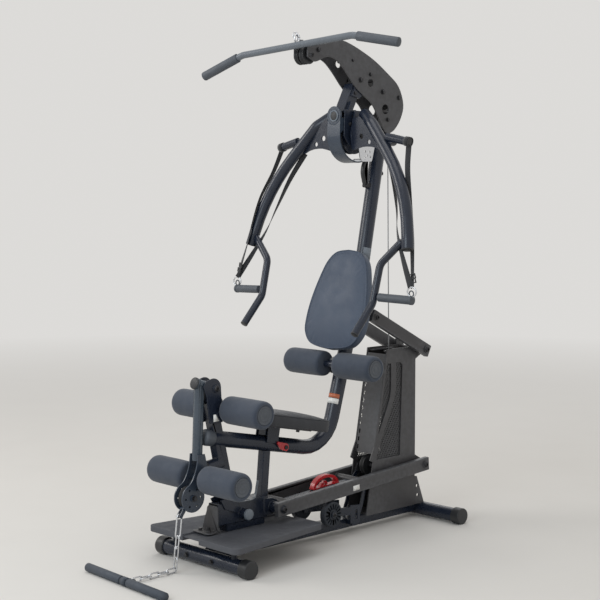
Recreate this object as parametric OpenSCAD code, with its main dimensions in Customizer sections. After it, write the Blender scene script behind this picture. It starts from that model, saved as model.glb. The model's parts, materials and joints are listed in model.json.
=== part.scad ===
// Body-weight multi-station home gym: a seat carriage that rides on a four-bar link,
// with a leg station in front, press arms above and an arch that carries a lat bar.
// The front of the machine faces -Y, +Z is up and X = 0 is its plane of symmetry.

/* [Floor frame] */
// Length of the front foot tube with its caps
front_foot_len = 544; // [480:4:620]
// Length of the rear foot tube with its caps
rear_foot_len = 568; // [500:4:640]
// Diameter of the foot tubes
foot_tube_d = 60; // [50:1:62]
// Outside width of the tower
tower_w = 120; // [110:2:124]

/* [Links] */
// Height of the flat link bars
link_h = 58; // [50:1:60]
// Thickness of the link bars
link_t = 24; // [20:1:26]
// Distance of each link bar from the middle
link_x = 88; // [86:1:94]

/* [Carriage] */
// Outer half width of the foot plates at their front
plate_front_x = 265; // [240:5:290]
// Outer half width of the foot plates at their rear
plate_rear_x = 206; // [190:2:220]
// Diameter of the mast tube
mast_d = 62; // [56:1:64]
// Width of the seat pad
seat_w = 300; // [260:5:340]
// Length of the seat pad
seat_len = 384; // [340:4:400]
// Thickness of the seat pad
seat_t = 60; // [50:1:66]
// Widest part of the backrest
back_w = 340; // [300:5:360]
// Height of the backrest
back_h = 438; // [400:2:450]
// Thickness of the backrest
back_t = 52; // [46:1:54]

/* [Foam rollers] */
// Diameter of the foam rollers
roller_d = 110; // [96:1:114]
// Length of each foam roller
roller_len = 212; // [190:2:230]

/* [Press arms and bars] */
// Diameter of the press arm tubes
arm_d = 50; // [44:1:52]
// Diameter of the bent handle tubes
handle_d = 31; // [28:1:34]
// Diameter of the lat bar
lat_d = 28; // [25:1:30]
// Diameter of the lat bar's grips
lat_grip_d = 38; // [34:1:40]
// Length of the low pulley's straight bar
low_bar_len = 500; // [440:5:540]
// Wire diameter of the chain
chain_d = 6; // [5:0.5:7]

/* [Hidden] */
$fn = 48;

paint = [0.17, 0.19, 0.22];
plate_paint = [0.27, 0.27, 0.28];
foam = [0.26, 0.29, 0.33];
vinyl = [0.36, 0.4, 0.45];
rubber = [0.1, 0.1, 0.11];
zinc = [0.78, 0.79, 0.8];
red = [0.75, 0.15, 0.17];

gap = 0.4;                 // between faces of pieces that move past each other
fit = 0.05;                // radial clearance of a running fit
shaft_d = 20;              // pivot shafts
wall = 3;                  // tube walls

foot_z = 35;
front_foot_y = -435;
rear_foot_y = 806;
cap_len = 46;
lower_rear = [767, 246];   // pivots in the [y, z] plane
lower_front = [-106, 186];
upper_rear = [769, 763];
upper_front = [439, 926];
deck_z = 128;              // top of the foot plates
deck_t = 25;
lever_pivot = [-401, 695];
disc_c = [-512, 282];      // low pulley
lower_axle = [-468, 352];
thigh_axle = [-347, 608];
mast_axle = [272, 729];
hub_c = [388, 1692];
arch_front_c = [106, 2010];
arch_rear_c = [578, 1850];
hub_d = 26;                // press arm shaft
latch_c = [-42, 421];
release_c = [476, 1486];
hook_top = [-560, 216];    // shackle pin that the chain hangs from
chain_bend = [-584, 12];
seat_slope = 11.3;         // the seat beam falls towards the mast
mast_pts = [[0, -423, 503], [0, 232, 372], [0, 447, 1110], [0, 573, 1735]];
arm_pts = [[92, 368, 1782], [160, 338, 1738], [406, 280, 1470], [457, 226, 1228]];

// ---- helpers ----
function unit(v) = v / norm(v);
function arc(c, r, a, b, n = 8) =
    [for (i = [0:n]) c + r * [cos(a + (b - a) * i / n), sin(a + (b - a) * i / n)]];
function spline_at(a, b, c, d, t) =
    0.5 * (2 * b + (c - a) * t + (2 * a - 5 * b + 4 * c - d) * t * t
        + (3 * b - a - 3 * c + d) * t * t * t);
// Smooth open curve through the points p
function curve(p, n = 5) = let (m = len(p) - 1) [for (i = [0:m - 1]) for (k = [0:n - 1])
    spline_at(p[max(i - 1, 0)], p[i], p[i + 1], p[min(i + 2, m)], k / n), p[m]];

// Puts its children with their X and Z axes along the given directions
module place(at, x, z) {
    y = cross(z, x);
    multmatrix([[x.x, y.x, z.x, at.x], [x.y, y.y, z.y, at.y], [x.z, y.z, z.z, at.z]])
        children();
}

// Draws an outline of [y, z] points as a plate from x0 to x1
module plate(x0, x1) {
    translate([x0, 0, 0]) rotate([90, 0, 90]) linear_extrude(x1 - x0) children();
}

// Round pin or tube along X, centred at c = [y, z]
module pin(c, d, x0, x1) {
    translate([x0, c[0], c[1]]) rotate([0, 90, 0]) cylinder(d = d, h = x1 - x0);
}

// Round bar between two points, hollow when w > 0
module rod(p, q, d, w = 0) {
    v = q - p;
    translate(p) rotate([0, acos(v.z / norm(v)), atan2(v.y, v.x)])
        linear_extrude(norm(v)) ring(d, w);
}

module ring(d, w) {
    difference() {
        circle(d = d);
        if (w > 0) circle(d = d - 2 * w);
    }
}

// Points along the line through p, with arcs of the radii r at its inner points
function bend_arc(a, b, c, r, n = 6) = let (u = unit(b - a), v = unit(c - b),
    turn = acos(u * v), o = b + unit(v - u) * r / cos(turn / 2), m = unit(unit(u - v) * -1))
    [for (i = [0:n]) let (t = turn * (i / n - 0.5))
        o - m * r * cos(t) + unit(u + v) * r * sin(t)];
function bend_path(p, r) = [p[0], each [for (i = [1:len(p) - 2])
    each bend_arc(p[i - 1], p[i], p[i + 1], r[i - 1])], p[len(p) - 1]];

// One ring of a swept tube, square to the path's direction t
function sweep_ring(c, t, side, r, n) = let (x = unit(cross(t, side)), y = cross(t, x))
    [for (k = [0:n - 1]) c + r * (cos(k * 360 / n) * x + sin(k * 360 / n) * y)];
function path_dir(p, i) = unit(p[min(i + 1, len(p) - 1)] - p[max(i - 1, 0)]);

// Tube swept along the bent line through p; side is a direction that it never runs along
module bent_tube(p, r, d, w, side, n = 24) {
    path = bend_path(p, r);
    m = len(path);
    rings = [for (i = [0:m - 1]) each sweep_ring(path[i], path_dir(path, i), side, d / 2, n)];
    if (w > 0) {
        bore = [for (i = [0:m - 1]) each sweep_ring(path[i], path_dir(path, i), side,
            d / 2 - w, n)];
        q = m * n;
        polyhedron(concat(rings, bore), [
            for (i = [0:m - 2]) for (k = [0:n - 1]) let (j = (k + 1) % n, e = i * n)
                each [[e + k, e + n + k, e + n + j], [e + k, e + n + j, e + j],
                    [q + e + k, q + e + n + j, q + e + n + k], [q + e + k, q + e + j,
                    q + e + n + j]],
            for (k = [0:n - 1]) let (j = (k + 1) % n, e = (m - 1) * n)
                each [[k, j, q + j], [k, q + j, q + k],
                    [e + k, q + e + k, q + e + j], [e + k, q + e + j, e + j]]]);
    } else {
        polyhedron(rings, [
            for (i = [0:m - 2]) for (k = [0:n - 1]) let (j = (k + 1) % n, e = i * n)
                each [[e + k, e + n + k, e + n + j], [e + k, e + n + j, e + j]],
            [for (k = [0:n - 1]) k], [for (k = [n - 1:-1:0]) (m - 1) * n + k]]);
    }
}

// Flat bar between the [y, z] points p and q, from x0 to x1 and h high
module flat_bar(p, q, x0, x1, h) {
    v = q - p;
    translate([x0, p[0], p[1]]) rotate([atan2(v[1], v[0]), 0, 0])
        translate([0, 0, -h / 2]) cube([x1 - x0, norm(v), h]);
}

// Box section tube between the [y, z] points p and q
module box_tube(p, q, w, h) {
    v = q - p;
    translate([0, p[0], p[1]]) rotate([atan2(v[1], v[0]), 0, 0]) rotate([-90, 0, 0])
        linear_extrude(norm(v)) difference() {
            square([w, h], center = true);
            square([w - 2 * wall, h - 2 * wall], center = true);
        }
}

module both_sides() {
    children();
    mirror([1, 0, 0]) children();
}

// Solid of revolution along X from x0, with rounded rims and a bore
module drum(c, d, bore, x0, x1, r) {
    h = x1 - x0;
    translate([x0, c[0], c[1]]) rotate([0, 90, 0]) rotate_extrude()
        polygon([[bore / 2, 0], each arc([d / 2 - r, r], r, -90, 0, 4),
            each arc([d / 2 - r, h - r], r, 0, 90, 4), [bore / 2, h]]);
}

// Grooved pulley along X
module pulley(c, d, bore, x0, x1) {
    h = x1 - x0;
    translate([x0, c[0], c[1]]) rotate([0, 90, 0]) rotate_extrude()
        polygon([[bore / 2, 0], [d / 2, 0], [d / 2, h * 0.15], [d / 2 - h * 0.4, h / 2],
            [d / 2, h * 0.85], [d / 2, h], [bore / 2, h]]);
}

// Chain link of the outer length l and width w, its length along Z from the origin
module link(l, w, d) {
    m = (w - d) / 2;
    for (s = [-1, 1]) translate([s * m, 0, w / 2]) cylinder(d = d, h = l - w);
    for (end = [0, 1]) translate([0, 0, end ? l - w / 2 : w / 2])
        rotate([90, 0, 0]) rotate([0, 0, end ? 0 : 180])
            rotate_extrude(angle = 180) translate([m, 0]) circle(d = d);
}

// ---- floor frame ----
module front_foot_tube() color(paint) {
    translate([-front_foot_len / 2 + cap_len - 6, front_foot_y, foot_z]) rotate([0, 90, 0])
        linear_extrude(front_foot_len - 2 * cap_len + 12) ring(foot_tube_d, wall);
}

module rear_foot_tube() color(paint) {
    translate([-rear_foot_len / 2 + cap_len - 6, rear_foot_y, foot_z]) rotate([0, 90, 0])
        linear_extrude(rear_foot_len - 2 * cap_len + 12) ring(foot_tube_d, wall);
}

// Plastic cap that sleeves over a tube end, with a flat sole
module foot_cap(half_len, y) {
    difference() {
        drum([y, foot_z], 2 * foot_z + 2, 0, half_len - cap_len, half_len, 5);
        pin([y, foot_z], foot_tube_d, half_len - cap_len - 1, half_len - cap_len + 6);
        translate([0, y - 60, -20]) cube([half_len + 10, 120, 20]);
    }
}

module foot_caps() color(rubber) both_sides() {
    foot_cap(front_foot_len / 2, front_foot_y);
    foot_cap(rear_foot_len / 2, rear_foot_y);
}

beam_top = 62;
beam_bottom = 22;
module floor_beam() color(paint) {
    y0 = front_foot_y + foot_tube_d / 2 - 4;
    y1 = rear_foot_y - foot_tube_d / 2 + 4;
    translate([-30, y0, beam_bottom]) difference() {
        cube([60, y1 - y0, beam_top - beam_bottom]);
        translate([wall, -1, wall])
            cube([60 - 2 * wall, y1 - y0 + 2, beam_top - beam_bottom - 2 * wall]);
    }
}

stop_x = 175;
module platform_stops() color(rubber) both_sides() {
    translate([stop_x, front_foot_y - 3, foot_z + foot_tube_d / 2 - 3])
        cylinder(d = 22, h = deck_z - deck_t - gap - 12 - foot_z - foot_tube_d / 2 + 3);
    translate([stop_x, front_foot_y - 3, deck_z - deck_t - gap - 12])
        cylinder(d = 34, h = 12);
}

// ---- tower ----
tower_foot = [424, beam_top];     // lower front corner of the side plates
tower_rear_y = 742;
tower_top_z = 776;
tower_front_top = [554, tower_top_z];
side_t = 6;
function lean_y(z) = tower_foot[0] + (z - tower_foot[1])
    * (tower_front_top[0] - tower_foot[0]) / (tower_front_top[1] - tower_foot[1]);
// Points of the tower's curved inner brace, from its lower front to its top
brace = [[446, 300], [470, 352], [545, 500], [574, 570], [580, 640], [578, 720]];

module tower_side() {
    ear = 26;
    difference() {
        union() {
            plate(tower_w / 2 - side_t, tower_w / 2) difference() {
                polygon([tower_foot, [tower_rear_y, beam_top], [tower_rear_y, tower_top_z],
                    tower_front_top]);
                polygon([[lean_y(300) + 12, 300], [640, 300], [654, 700], [640, 712],
                    [lean_y(712) + 12, 712]]);
            }
            plate(tower_w / 2 - side_t, tower_w / 2) {
                for (c = [lower_rear, upper_rear]) polygon([[tower_rear_y - 1, c[1] - 44],
                    each arc(c, ear, -60, 60), [tower_rear_y - 1, c[1] + 44]]);
                polygon([[tower_rear_y - 1, 190], [tower_rear_y + 14, 190],
                    [rear_foot_y, foot_z + foot_tube_d / 2 - 2], [tower_rear_y - 1,
                    foot_z + foot_tube_d / 2 - 2]]);
                polygon(concat(curve(brace), [for (i = [len(brace) - 1:-1:0])
                    brace[i] + [34, i == 0 ? -18 : 0]]));
            }
        }
        for (c = [lower_rear, upper_rear])
            pin(c, shaft_d, tower_w / 2 - side_t - 1, tower_w / 2 + 1);
        for (c = [[762, 104], [758, 146]])
            pin(c, 14, tower_w / 2 - side_t - 1, tower_w / 2 + 1);
    }
}

module tower_frame() color(plate_paint) {
    both_sides() tower_side();
    inner = tower_w - 2 * side_t;
    translate([-inner / 2, tower_rear_y - 60, beam_top]) cube([inner, side_t, 700]);
    translate([-inner / 2, tower_foot[0] + 20, beam_top]) cube([inner, 250, side_t]);
    both_sides() translate([inner / 2 - 22, 560, tower_top_z - 14]) cube([22, 140, side_t]);
    for (c = [lower_rear, upper_rear]) {
        end = link_x + link_t / 2 + gap;
        pin(c, shaft_d, -end - 1, end + 1);
        both_sides() pin(c, 34, end, end + 5);
        both_sides() pin(c, 34, tower_w / 2 - 1, link_x - link_t / 2 - gap);
    }
    pin([500, 268], 16, -inner / 2 - 1, inner / 2 + 1);
    flat_bar([500, 268], [470, 200], -inner / 2, -inner / 2 + 5, 30);
}

mesh_t = 1.5;
module tower_mesh() color([0.4, 0.41, 0.43]) both_sides()
    plate(tower_w / 2 - side_t - mesh_t, tower_w / 2 - side_t)
        polygon([[lean_y(290) + 8, 290], [652, 290], [664, 722], [lean_y(722) + 8, 722]]);

// Leaning front guard with a row of slots along its left edge
module front_guard() color([0.36, 0.37, 0.39]) {
    z0 = 324;
    h = 438;
    lean = atan((lean_y(z0 + h) - lean_y(z0)) / h);
    w = tower_w - 2 * side_t;
    translate([0, lean_y(z0) + 2, z0]) rotate([-lean, 0, 0]) difference() {
        translate([-w / 2, 0, 0]) cube([w, 3, h]);
        for (i = [0:11]) translate([-w / 2 + 6, -1, 14 + i * 34]) cube([8, 5, 18]);
    }
}

wheel_c = [177, 117];
wheel_d = 108;
// Arm that carries a guide wheel below each lower link bar
module wheel_brackets() color(paint) {
    both_sides() {
        difference() {
            union() {
                flat_bar([345, 100], [wheel_c[0] - 10, wheel_c[1] - 0.5], 58, 66, 34);
                plate(58, 66) polygon([[318, 48], [372, 48], [378, 60], [378, 122],
                    [318, 128]]);
            }
            plate(57, 67) polygon([[350, 62], [362, 62], [362, 104], [350, 104]]);
        }
        pin(wheel_c, 16, 65, 104);
        pin(wheel_c, 30, 65, 72);
        pin(wheel_c, 26, 102.5, 107);
        translate([29, 330, 40]) cube([37, 40, 22]);
        plate(40, 46) polygon(concat(curve([[372, 52], [402, 120], [426, 200], [468, 244]]),
            [for (p = curve([[484, 236], [442, 190], [418, 112], [390, 52]])) p]));
    }
}

module wheel(side) color(rubber) {
    x0 = 74;
    mirror([side < 0 ? 1 : 0, 0, 0]) difference() {
        union() {
            drum(wheel_c, wheel_d, 16 + 2 * fit, x0, x0 + 28, 6);
        }
        for (i = [0:15]) translate([x0 + 20, wheel_c[0], wheel_c[1]])
            rotate([i * 22.5, 0, 0]) translate([0, -3.5, 22]) cube([9, 7, 22]);
    }
}
module wheel_left() wheel(-1);
module wheel_right() wheel(1);

module tower_pulley() color(rubber) pulley([500, 268], 92, 16 + 2 * fit, -11, 11);

// ---- lower link ----
link_dir = unit(lower_rear - lower_front);
rail_c = [lower_front + 70 * link_dir, lower_front + 492 * link_dir];
module lower_link_bars() color(plate_paint) {
    both_sides() difference() {
        flat_bar(lower_front - 30 * link_dir, lower_rear + 27 * link_dir,
            link_x - link_t / 2, link_x + link_t / 2, link_h);
        for (c = [lower_front, lower_rear])
            pin(c, shaft_d + 2 * fit, link_x - link_t, link_x + link_t);
    }
    for (c = rail_c) pin(c, 34, -link_x + link_t / 2 - 1, link_x - link_t / 2 + 1);
}

rail_w = 30;
rail_h = 34;
rail_drop = [0, -14];      // the rail hangs below the line through the cross tubes
module selector_rail() color(paint) difference() {
    flat_bar(rail_c[0] + 10 * link_dir + rail_drop, rail_c[1] - 10 * link_dir + rail_drop,
        -rail_w / 2, rail_w / 2, rail_h);
    for (i = [0:7]) pin(rail_c[0] + (70 + i * 40) * link_dir + rail_drop, 11, -30, 30);
}

selector_c = rail_c[0] + 264 * link_dir + rail_drop;
module along_rail() translate([0, selector_c[0], selector_c[1]])
    rotate([atan2(link_dir[1], link_dir[0]), 0, 0]) children();

module selector_trolley() color(paint) along_rail() difference() {
    translate([-28, -45, -24]) cube([56, 90, 46]);
    translate([-rail_w / 2 - gap, -50, -rail_h / 2 - gap])
        cube([rail_w + 2 * gap, 100, rail_h + 2 * gap]);
}

// Arched handle with an inner pull hook
function half_ellipse(a, b, z) = [for (i = [0:16]) [-a * cos(i * 11.25), z + b * sin(i * 11.25)]];
module selector_handle() color(red) along_rail() translate([0, 0, 20]) {
    plate(-12, 12) difference() {
        polygon(half_ellipse(76, 50, 0));
        polygon(half_ellipse(62, 36, 1));
    }
    plate(-8, 8) polygon([[-34, 3], [-20, 18], each arc([0, 16], 9, 160, 20), [14, 8],
        [4, 8], [2, 13], [-8, 13], [-14, 3]]);
    translate([-14, -76, 0]) cube([28, 152, 6]);
}

// ---- upper link ----
upper_dir = unit(upper_rear - upper_front);
module upper_link_bars() color(plate_paint) both_sides() {
    difference() {
        flat_bar(upper_front - 22 * upper_dir, upper_rear + 26 * upper_dir,
            link_x - link_t / 2, link_x + link_t / 2, link_h - 4);
        pin(upper_rear, shaft_d + 2 * fit, link_x - link_t, link_x + link_t);
    }
    pin(upper_front, 30, link_x + link_t / 2 - 1, link_x + link_t / 2 + 6);
}

// ---- carriage base ----
module foot_plates() color(plate_paint) {
    y0 = -508;
    y1 = 16;
    r = 26;
    both_sides() translate([0, 0, deck_z - deck_t]) linear_extrude(deck_t)
        polygon([[48, y0], each arc([plate_front_x - r, y0 + r], r, -90, 0, 5),
            each arc([plate_rear_x - r, y1 - r], r, 0, 90, 5), [48, y1]]);
    translate([-48, y0 + 8, deck_z - 14]) cube([96, y1 - y0 - 8, 8]);
    translate([-150, -330, deck_z - deck_t + 3]) cube([300, 50, 9]);
}

beam_z = 190;
module carriage_beam() color(paint) {
    box_tube([-392, 196], [-128, 190], 56, 84);
    translate([-24, -340, deck_z - 6]) cube([48, 200, 32]);
    pin(lower_front, shaft_d, -link_x - link_t / 2 - gap - 1, link_x + link_t / 2 + gap + 1);
    both_sides() {
        pin(lower_front, 34, link_x + link_t / 2 + gap, link_x + link_t / 2 + gap + 5);
        pin(lower_front, 46, 20, link_x - link_t / 2 - gap);
        plate(26, 34) polygon([[-150, 156], [-104, 156], [-78, 170], [-78, 210], [-104, 222],
            [-150, 226]]);
    }
    pin([-262, 184], 42, -66, 66);
}

// Plate across the beam's front end, flared to a flange that is bolted to the foot plates
module front_bracket() color([0.33, 0.34, 0.35]) {
    z = deck_z + 0.3;
    translate([0, -392, 0]) rotate([90, 0, 0]) linear_extrude(6)
        polygon([[-58, z], [-54, 152], [-44, 180], [-34, 204], [-29, 224], [-20, 232],
            [24, 232], [32, 224], [34, z]]);
    translate([0, 0, z]) linear_extrude(5) polygon([[-57, -394],
        each arc([-50, -436], 14, 180, 270, 4), each arc([20, -430], 20, 270, 360, 4),
        [33, -394]]);
    translate([6, -424, z + 2]) cylinder(d = 22, h = 10);
}

module seat_post() color(paint) box_tube([-136, 226], [-119, 414], 36, 36);

module mast() color(paint) bent_tube(mast_pts, [150, 500], mast_d, wall,
    [1, 0, 0]);

// Leaning leg-station post with two cheeks that hold the lever pivot
module upright() color(paint) {
    foot = [-314, 234];
    top = [-408, 640];
    box_tube(foot, top, 40, 46);
    difference() {
        both_sides() plate(24, 30) polygon([each arc([-412, 697], 38, 5, 110, 8),
            [-450, 726], [-462, 706], [-446, 668], [-432, 560], [-366, 560]]);
        pin(lever_pivot, shaft_d, -40, 40);
    }
    pin(lever_pivot, shaft_d, -30, 30);
    both_sides() pin(lever_pivot, 32, 30, 36);
    rod([0, -352, 394], [0, -430, 386], 50);
    both_sides() plate(19, 24.5) polygon([[-414, 572], [-374, 572], [-386, 636],
        [-428, 636]]);
    both_sides() plate(27, 33) polygon([[-338, 262], [-380, 252], [-358, 214], [-292, 190],
        [-284, 212], [-290, 262]]);
    translate([-30, -330, 236]) cube([60, 34, 22]);
}

module roller_axles() color(paint) {
    end = 30 + roller_len;
    pin(thigh_axle, 26, -end, end);
    pin(mast_axle, 26, -end, end);
    flat_bar(mast_axle + [4, 0], [310, 739], -22, 22, 40);
    both_sides() flat_bar(thigh_axle, [-392, 578], 30, 36, 40);
}

// Vinyl-covered pads are plain solids of their outer size
back_tilt = 17;
back_c = [297, 1009];      // middle of the backrest's front face
module backrest() color(vinyl) translate([0, back_c[0], back_c[1]])
    rotate([-back_tilt, 0, 0]) rotate([90, 0, 0]) translate([0, 0, -back_t])
        linear_extrude(back_t) polygon(back_outline());

function back_side() = curve([[0, -back_h / 2], [back_w * 0.32, -back_h * 0.465],
    [back_w * 0.47, -back_h * 0.35], [back_w / 2, -back_h * 0.2],
    [back_w * 0.478, 0], [back_w * 0.41, back_h * 0.22], [back_w * 0.33, back_h * 0.38],
    [back_w * 0.2, back_h * 0.475], [0, back_h / 2]], 4);
function back_outline() = concat(back_side(),
    [for (i = [len(back_side()) - 2:-1:1]) [-back_side()[i][0], back_side()[i][1]]]);

module backrest_bracket() color(paint) {
    difference() {
        translate([0, back_c[0], back_c[1]]) rotate([-back_tilt, 0, 0]) {
            translate([-60, back_t, -150]) cube([120, 5, 290]);
            translate([-24, back_t + 2, -110]) cube([48, 42, 60]);
            translate([-24, back_t + 2, 66]) cube([48, 42, 50]);
        }
        rod([0, mast_pts[1].y, mast_pts[1].z], [0, mast_pts[2].y, mast_pts[2].z] +
            [0, 30, 103], mast_d + 1);
    }
}

// ---- arch ----
arch_outer = [[84, 2042], [120, 2068], [200, 2084], [310, 2080], [463, 2026], [570, 1966],
    [640, 1915], [672, 1840], [655, 1778], [615, 1728], [575, 1708]];
arch_inner = [[552, 1716], [528, 1750], [497, 1797], [468, 1832], [426, 1859], [370, 1893],
    [305, 1958], [262, 1994], [225, 2008], [188, 2006], [150, 1990], [122, 1984], [84, 2000]];
arch_holes = [[145, 2033, 12], [459, 1955, 12], [398, 1928, 12], [461, 1919, 34],
    [537, 1886, 12], [640, 1867, 12], [555, 1813, 42], [569, 1769, 12]];
module arch_plates() color(plate_paint) {
    difference() {
        both_sides() difference() {
            plate(35, 41) polygon(concat(curve(arch_outer, 4), curve(arch_inner, 4)));
            for (h = arch_holes) pin([h[0], h[1]], h[2], 30, 45);
            pin(arch_front_c, 14, 30, 45);
        }
        pin([341, 1995], 30, -45, -30);
    }
    for (c = [[200, 2044], [400, 1990], [508, 1934], [627, 1800]]) pin(c, 16, -35, 35);
    pin(arch_front_c, 14, -41, 41);
    pin(arch_rear_c, 16, -35, 35);
    both_sides() pin(arch_front_c, 22, 41, 45);
    both_sides() plate(31, 35) polygon([[556, 1718], [600, 1718], [628, 1780], [600, 1796],
        [577, 1758]]);
}

module pulley_pair(c, bore) both_sides() pulley(c, 74, bore, 4, 26);
module arch_front_pulleys() color(rubber) pulley_pair(arch_front_c, 14 + 2 * fit);
module arch_rear_pulley() color(rubber) pulley(arch_rear_c, 76, 16 + 2 * fit, -11, 11);

// Strut and cheeks that hang the press arms' pivot below the arch
module hub_bracket() color(paint) {
    box_tube([392, 1902], [330, 1782], 52, 50);
    difference() {
        both_sides() plate(38, 44) polygon([[300, 1800], [368, 1800], [440, 1700],
            each arc(hub_c, 36, 10, -100, 6), [330, 1650], [296, 1690]]);
        pin(hub_c, hub_d + 2 * fit, -50, 50);
    }
    both_sides() plate(24, 40) polygon([[320, 1786], [346, 1786], [370, 1830], [344, 1836]]);
    both_sides() plate(24, 35) polygon([[352, 1860], [398, 1850], [436, 1880], [400, 1916],
        [372, 1898]]);
}

// Curved shield round the front and underside of the hub, topped by a plain round badge
shield_r = 112;
module hub_shield() color([0.3, 0.33, 0.37]) {
    plate(-37, 37) polygon(concat([[288, 1776], [280, 1776]],
        arc(hub_c, shield_r, 180, 300, 14), arc(hub_c, shield_r - 6, 300, 180, 14)));
    translate([0, 278, 1775]) rotate([-90, 0, 0]) cylinder(d = 78, h = 10);
    translate([0, 275, 1777]) rotate([-90, 0, 0]) cylinder(d = 52, h = 4);
    both_sides() plate(32, 37) polygon([[282, 1764], [318, 1764], [316, 1730], [282, 1700]]);
}

// Straight run of cable from the arch's rear pulley down into the tower
cable_top = [614, 1850];
cable_low = [632, 590];
module rear_cable() color([0.5, 0.5, 0.52])
    rod([0, cable_top[0], cable_top[1]], [0, cable_low[0], cable_low[1]], 5);

module carriage_fasteners() color(zinc) {
    pin(upper_front, 40, -link_x + link_t / 2 + gap, link_x - link_t / 2 - gap);
    rod([29, 322, 690], [66, 322, 690], 16);
    rod([-29, 322, 690], [-54, 322, 690], 14);
    rod([0, 560, 1537], [0, 578, 1540], 20);
    pin(latch_c, 10, 20, 47);
    pin(latch_c, 18, 46.6, 50);
    both_sides() plate(9, 13) polygon([each arc(release_c, 9, 60, 290, 6), [508, 1470],
        [520, 1500]]);
    pin(release_c, 8, -13, 13);
}

// ---- seat ----
seat_rear = [128, 470];    // lower rear corner of the seat pad
module along_seat() translate([0, seat_rear[0], seat_rear[1]])
    rotate([-seat_slope, 0, 0]) children();

module seat() color(vinyl) along_seat() {
    r = 50;
    linear_extrude(seat_t) polygon([each arc([seat_w / 2 - r, -r], r, 0, 90, 6),
        each arc([r - seat_w / 2, -r], r, 90, 180, 6),
        each arc([r - seat_w / 2, r - seat_len], r, 180, 270, 6),
        each arc([seat_w / 2 - r, r - seat_len], r, 270, 360, 6)]);
}

saddle_z = -43.8;          // underside of the saddle, just above the beam
module seat_bracket() color(paint) along_seat() {
    translate([-90, 40 - seat_len, -5]) cube([180, seat_len - 110, 5]);
    translate([-20, -258, saddle_z]) cube([40, 62, -saddle_z]);
    for (s = [-1, 1]) translate([s * (mast_d / 2 + 3.5) - 2.5, -258, saddle_z - 26])
        cube([5, 62, -saddle_z + 26]);
}

// Red pull lever beside the seat beam
module seat_latch() color(red) {
    difference() {
        plate(38, 46) polygon([[-88, 440], [-84, 450], each arc(latch_c, 17, 70, -80, 6),
            [-72, 417]]);
        pin(latch_c, 10 + 2 * fit, 30, 50);
    }
}

// ---- foam rollers ----
module roller(c, side, inner) color(foam) {
    mirror([side < 0 ? 1 : 0, 0, 0])
        drum(c, roller_d, 26 + 2 * fit, inner, inner + roller_len, 14);
}
module thigh_roller_left() roller(thigh_axle, -1, 40);
module thigh_roller_right() roller(thigh_axle, 1, 40);
module mast_roller_left() roller(mast_axle, -1, 38);
module mast_roller_right() roller(mast_axle, 1, 38);
module lower_roller_left() roller(lower_axle, -1, 48);
module lower_roller_right() roller(lower_axle, 1, 48);

// ---- leg lever ----
lever_cap = [-470, 716];
module lever_tube() color([0.3, 0.34, 0.38]) {
    difference() {
        union() {
            pin(lever_pivot, 40, -23, 23);
            rod([0, lever_pivot[0] - 14, lever_pivot[1] + 4], [0, lever_cap[0],
                lever_cap[1]], 40);
        }
        pin(lever_pivot, shaft_d + 2 * fit, -30, 30);
    }
    rod([0, lever_cap[0] - 4, lever_cap[1] + 2], [0, lever_cap[0] - 12, lever_cap[1] + 4],
        46);
    rod([0, lever_cap[0] + 10, lever_cap[1] - 6], [0, -472, 420], 40);
}

// Two curved plates that carry the foot roller axle and the low pulley
lever_front = [[-488, 446], [-494, 400], [-516, 350], [-556, 312]];
lever_rear = [[-464, 300], [-446, 336], [-438, 376], [-454, 446]];
module lever_plates() color([0.27, 0.3, 0.33]) {
    out = unit(hook_top - disc_c);
    pin(disc_c + 50 * out, 10, -21, 21);
    both_sides() flat_bar(disc_c + 44.8 * out, hook_top + 6 * out, 6, 10, 15);
    flat_bar(disc_c + 45.5 * out, disc_c + 54 * out, -8, 8, 15);
    pin(hook_top, shackle_d, -10, 10);
    both_sides() plate(20.2, 25.2) difference() {
        union() {
            polygon(concat(curve(lever_front), [disc_c], curve(lever_rear)));
            translate(disc_c) circle(d = 110);
        }
        for (i = [0:5]) translate(disc_c + 36 * [cos(i * 60), sin(i * 60)]) circle(d = 9);
    }
    pin(lower_axle, 26, -48 - roller_len + 10, 48 + roller_len - 10);
    both_sides() pin(lower_axle, 40, 25, 47);
    pin(disc_c, 14, -30, 30);
    both_sides() pin(disc_c, 26, 25, 31);
}

module low_pulley() color(rubber) pulley(disc_c, 88, 14 + 2 * fit, -14, 14);

// ---- press arms ----
module yoke_hub() color(paint) {
    pin(hub_c, hub_d, -60, 60);
    pulley(hub_c, 150, hub_d - 1, -14, 14);
    both_sides() {
        pin(hub_c, 60, 46, 62);
        difference() {
            union() {
                plate(52, 60) polygon([each arc(hub_c, 34, -60, 60, 6), [384, 1796],
                    [346, 1796], [322, 1700], [330, 1640]]);
                translate([0, 334, 0]) rotate([90, 0, 0]) linear_extrude(6)
                    polygon([[58, 1760], [58, 1633], [72, 1632], [92, 1637], [116, 1642],
                        [140, 1643], [170, 1641], [196, 1635], [226, 1622], [240, 1626],
                        [240, 1640], [150, 1732], [96, 1770]]);
            }
            for (h = [[110, 1686, 22], [154, 1662, 18]])
                translate([h.x, 340, h.y]) rotate([90, 0, 0]) cylinder(d = h.z, h = 20);
        }
        rod([258, 323, 1678], [368, 330, 1655], 34);
        rod([367, 330, 1655], [372, 330.5, 1654], 38);
        rod([268, 318, 1666], [268, 352, 1666], 50);
    }
}

module press_arm() color([0.23, 0.26, 0.3]) {
    bent_tube(arm_pts, [60, 720], arm_d, wall, [0, 1, 0]);
}
module arm_right() press_arm();
module arm_left() mirror([1, 0, 0]) press_arm();

handle_pts = [[426, 229, 1258], [330, 207, 1166], [325, 168, 1010], [325, 64, 894]];
module press_handle() color([0.2, 0.22, 0.25]) {
    bent_tube(handle_pts, [50, 60], handle_d, 0, [1, 0, 0], 16);
}
module handle_right() press_handle();
module handle_left() mirror([1, 0, 0]) press_handle();

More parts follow.
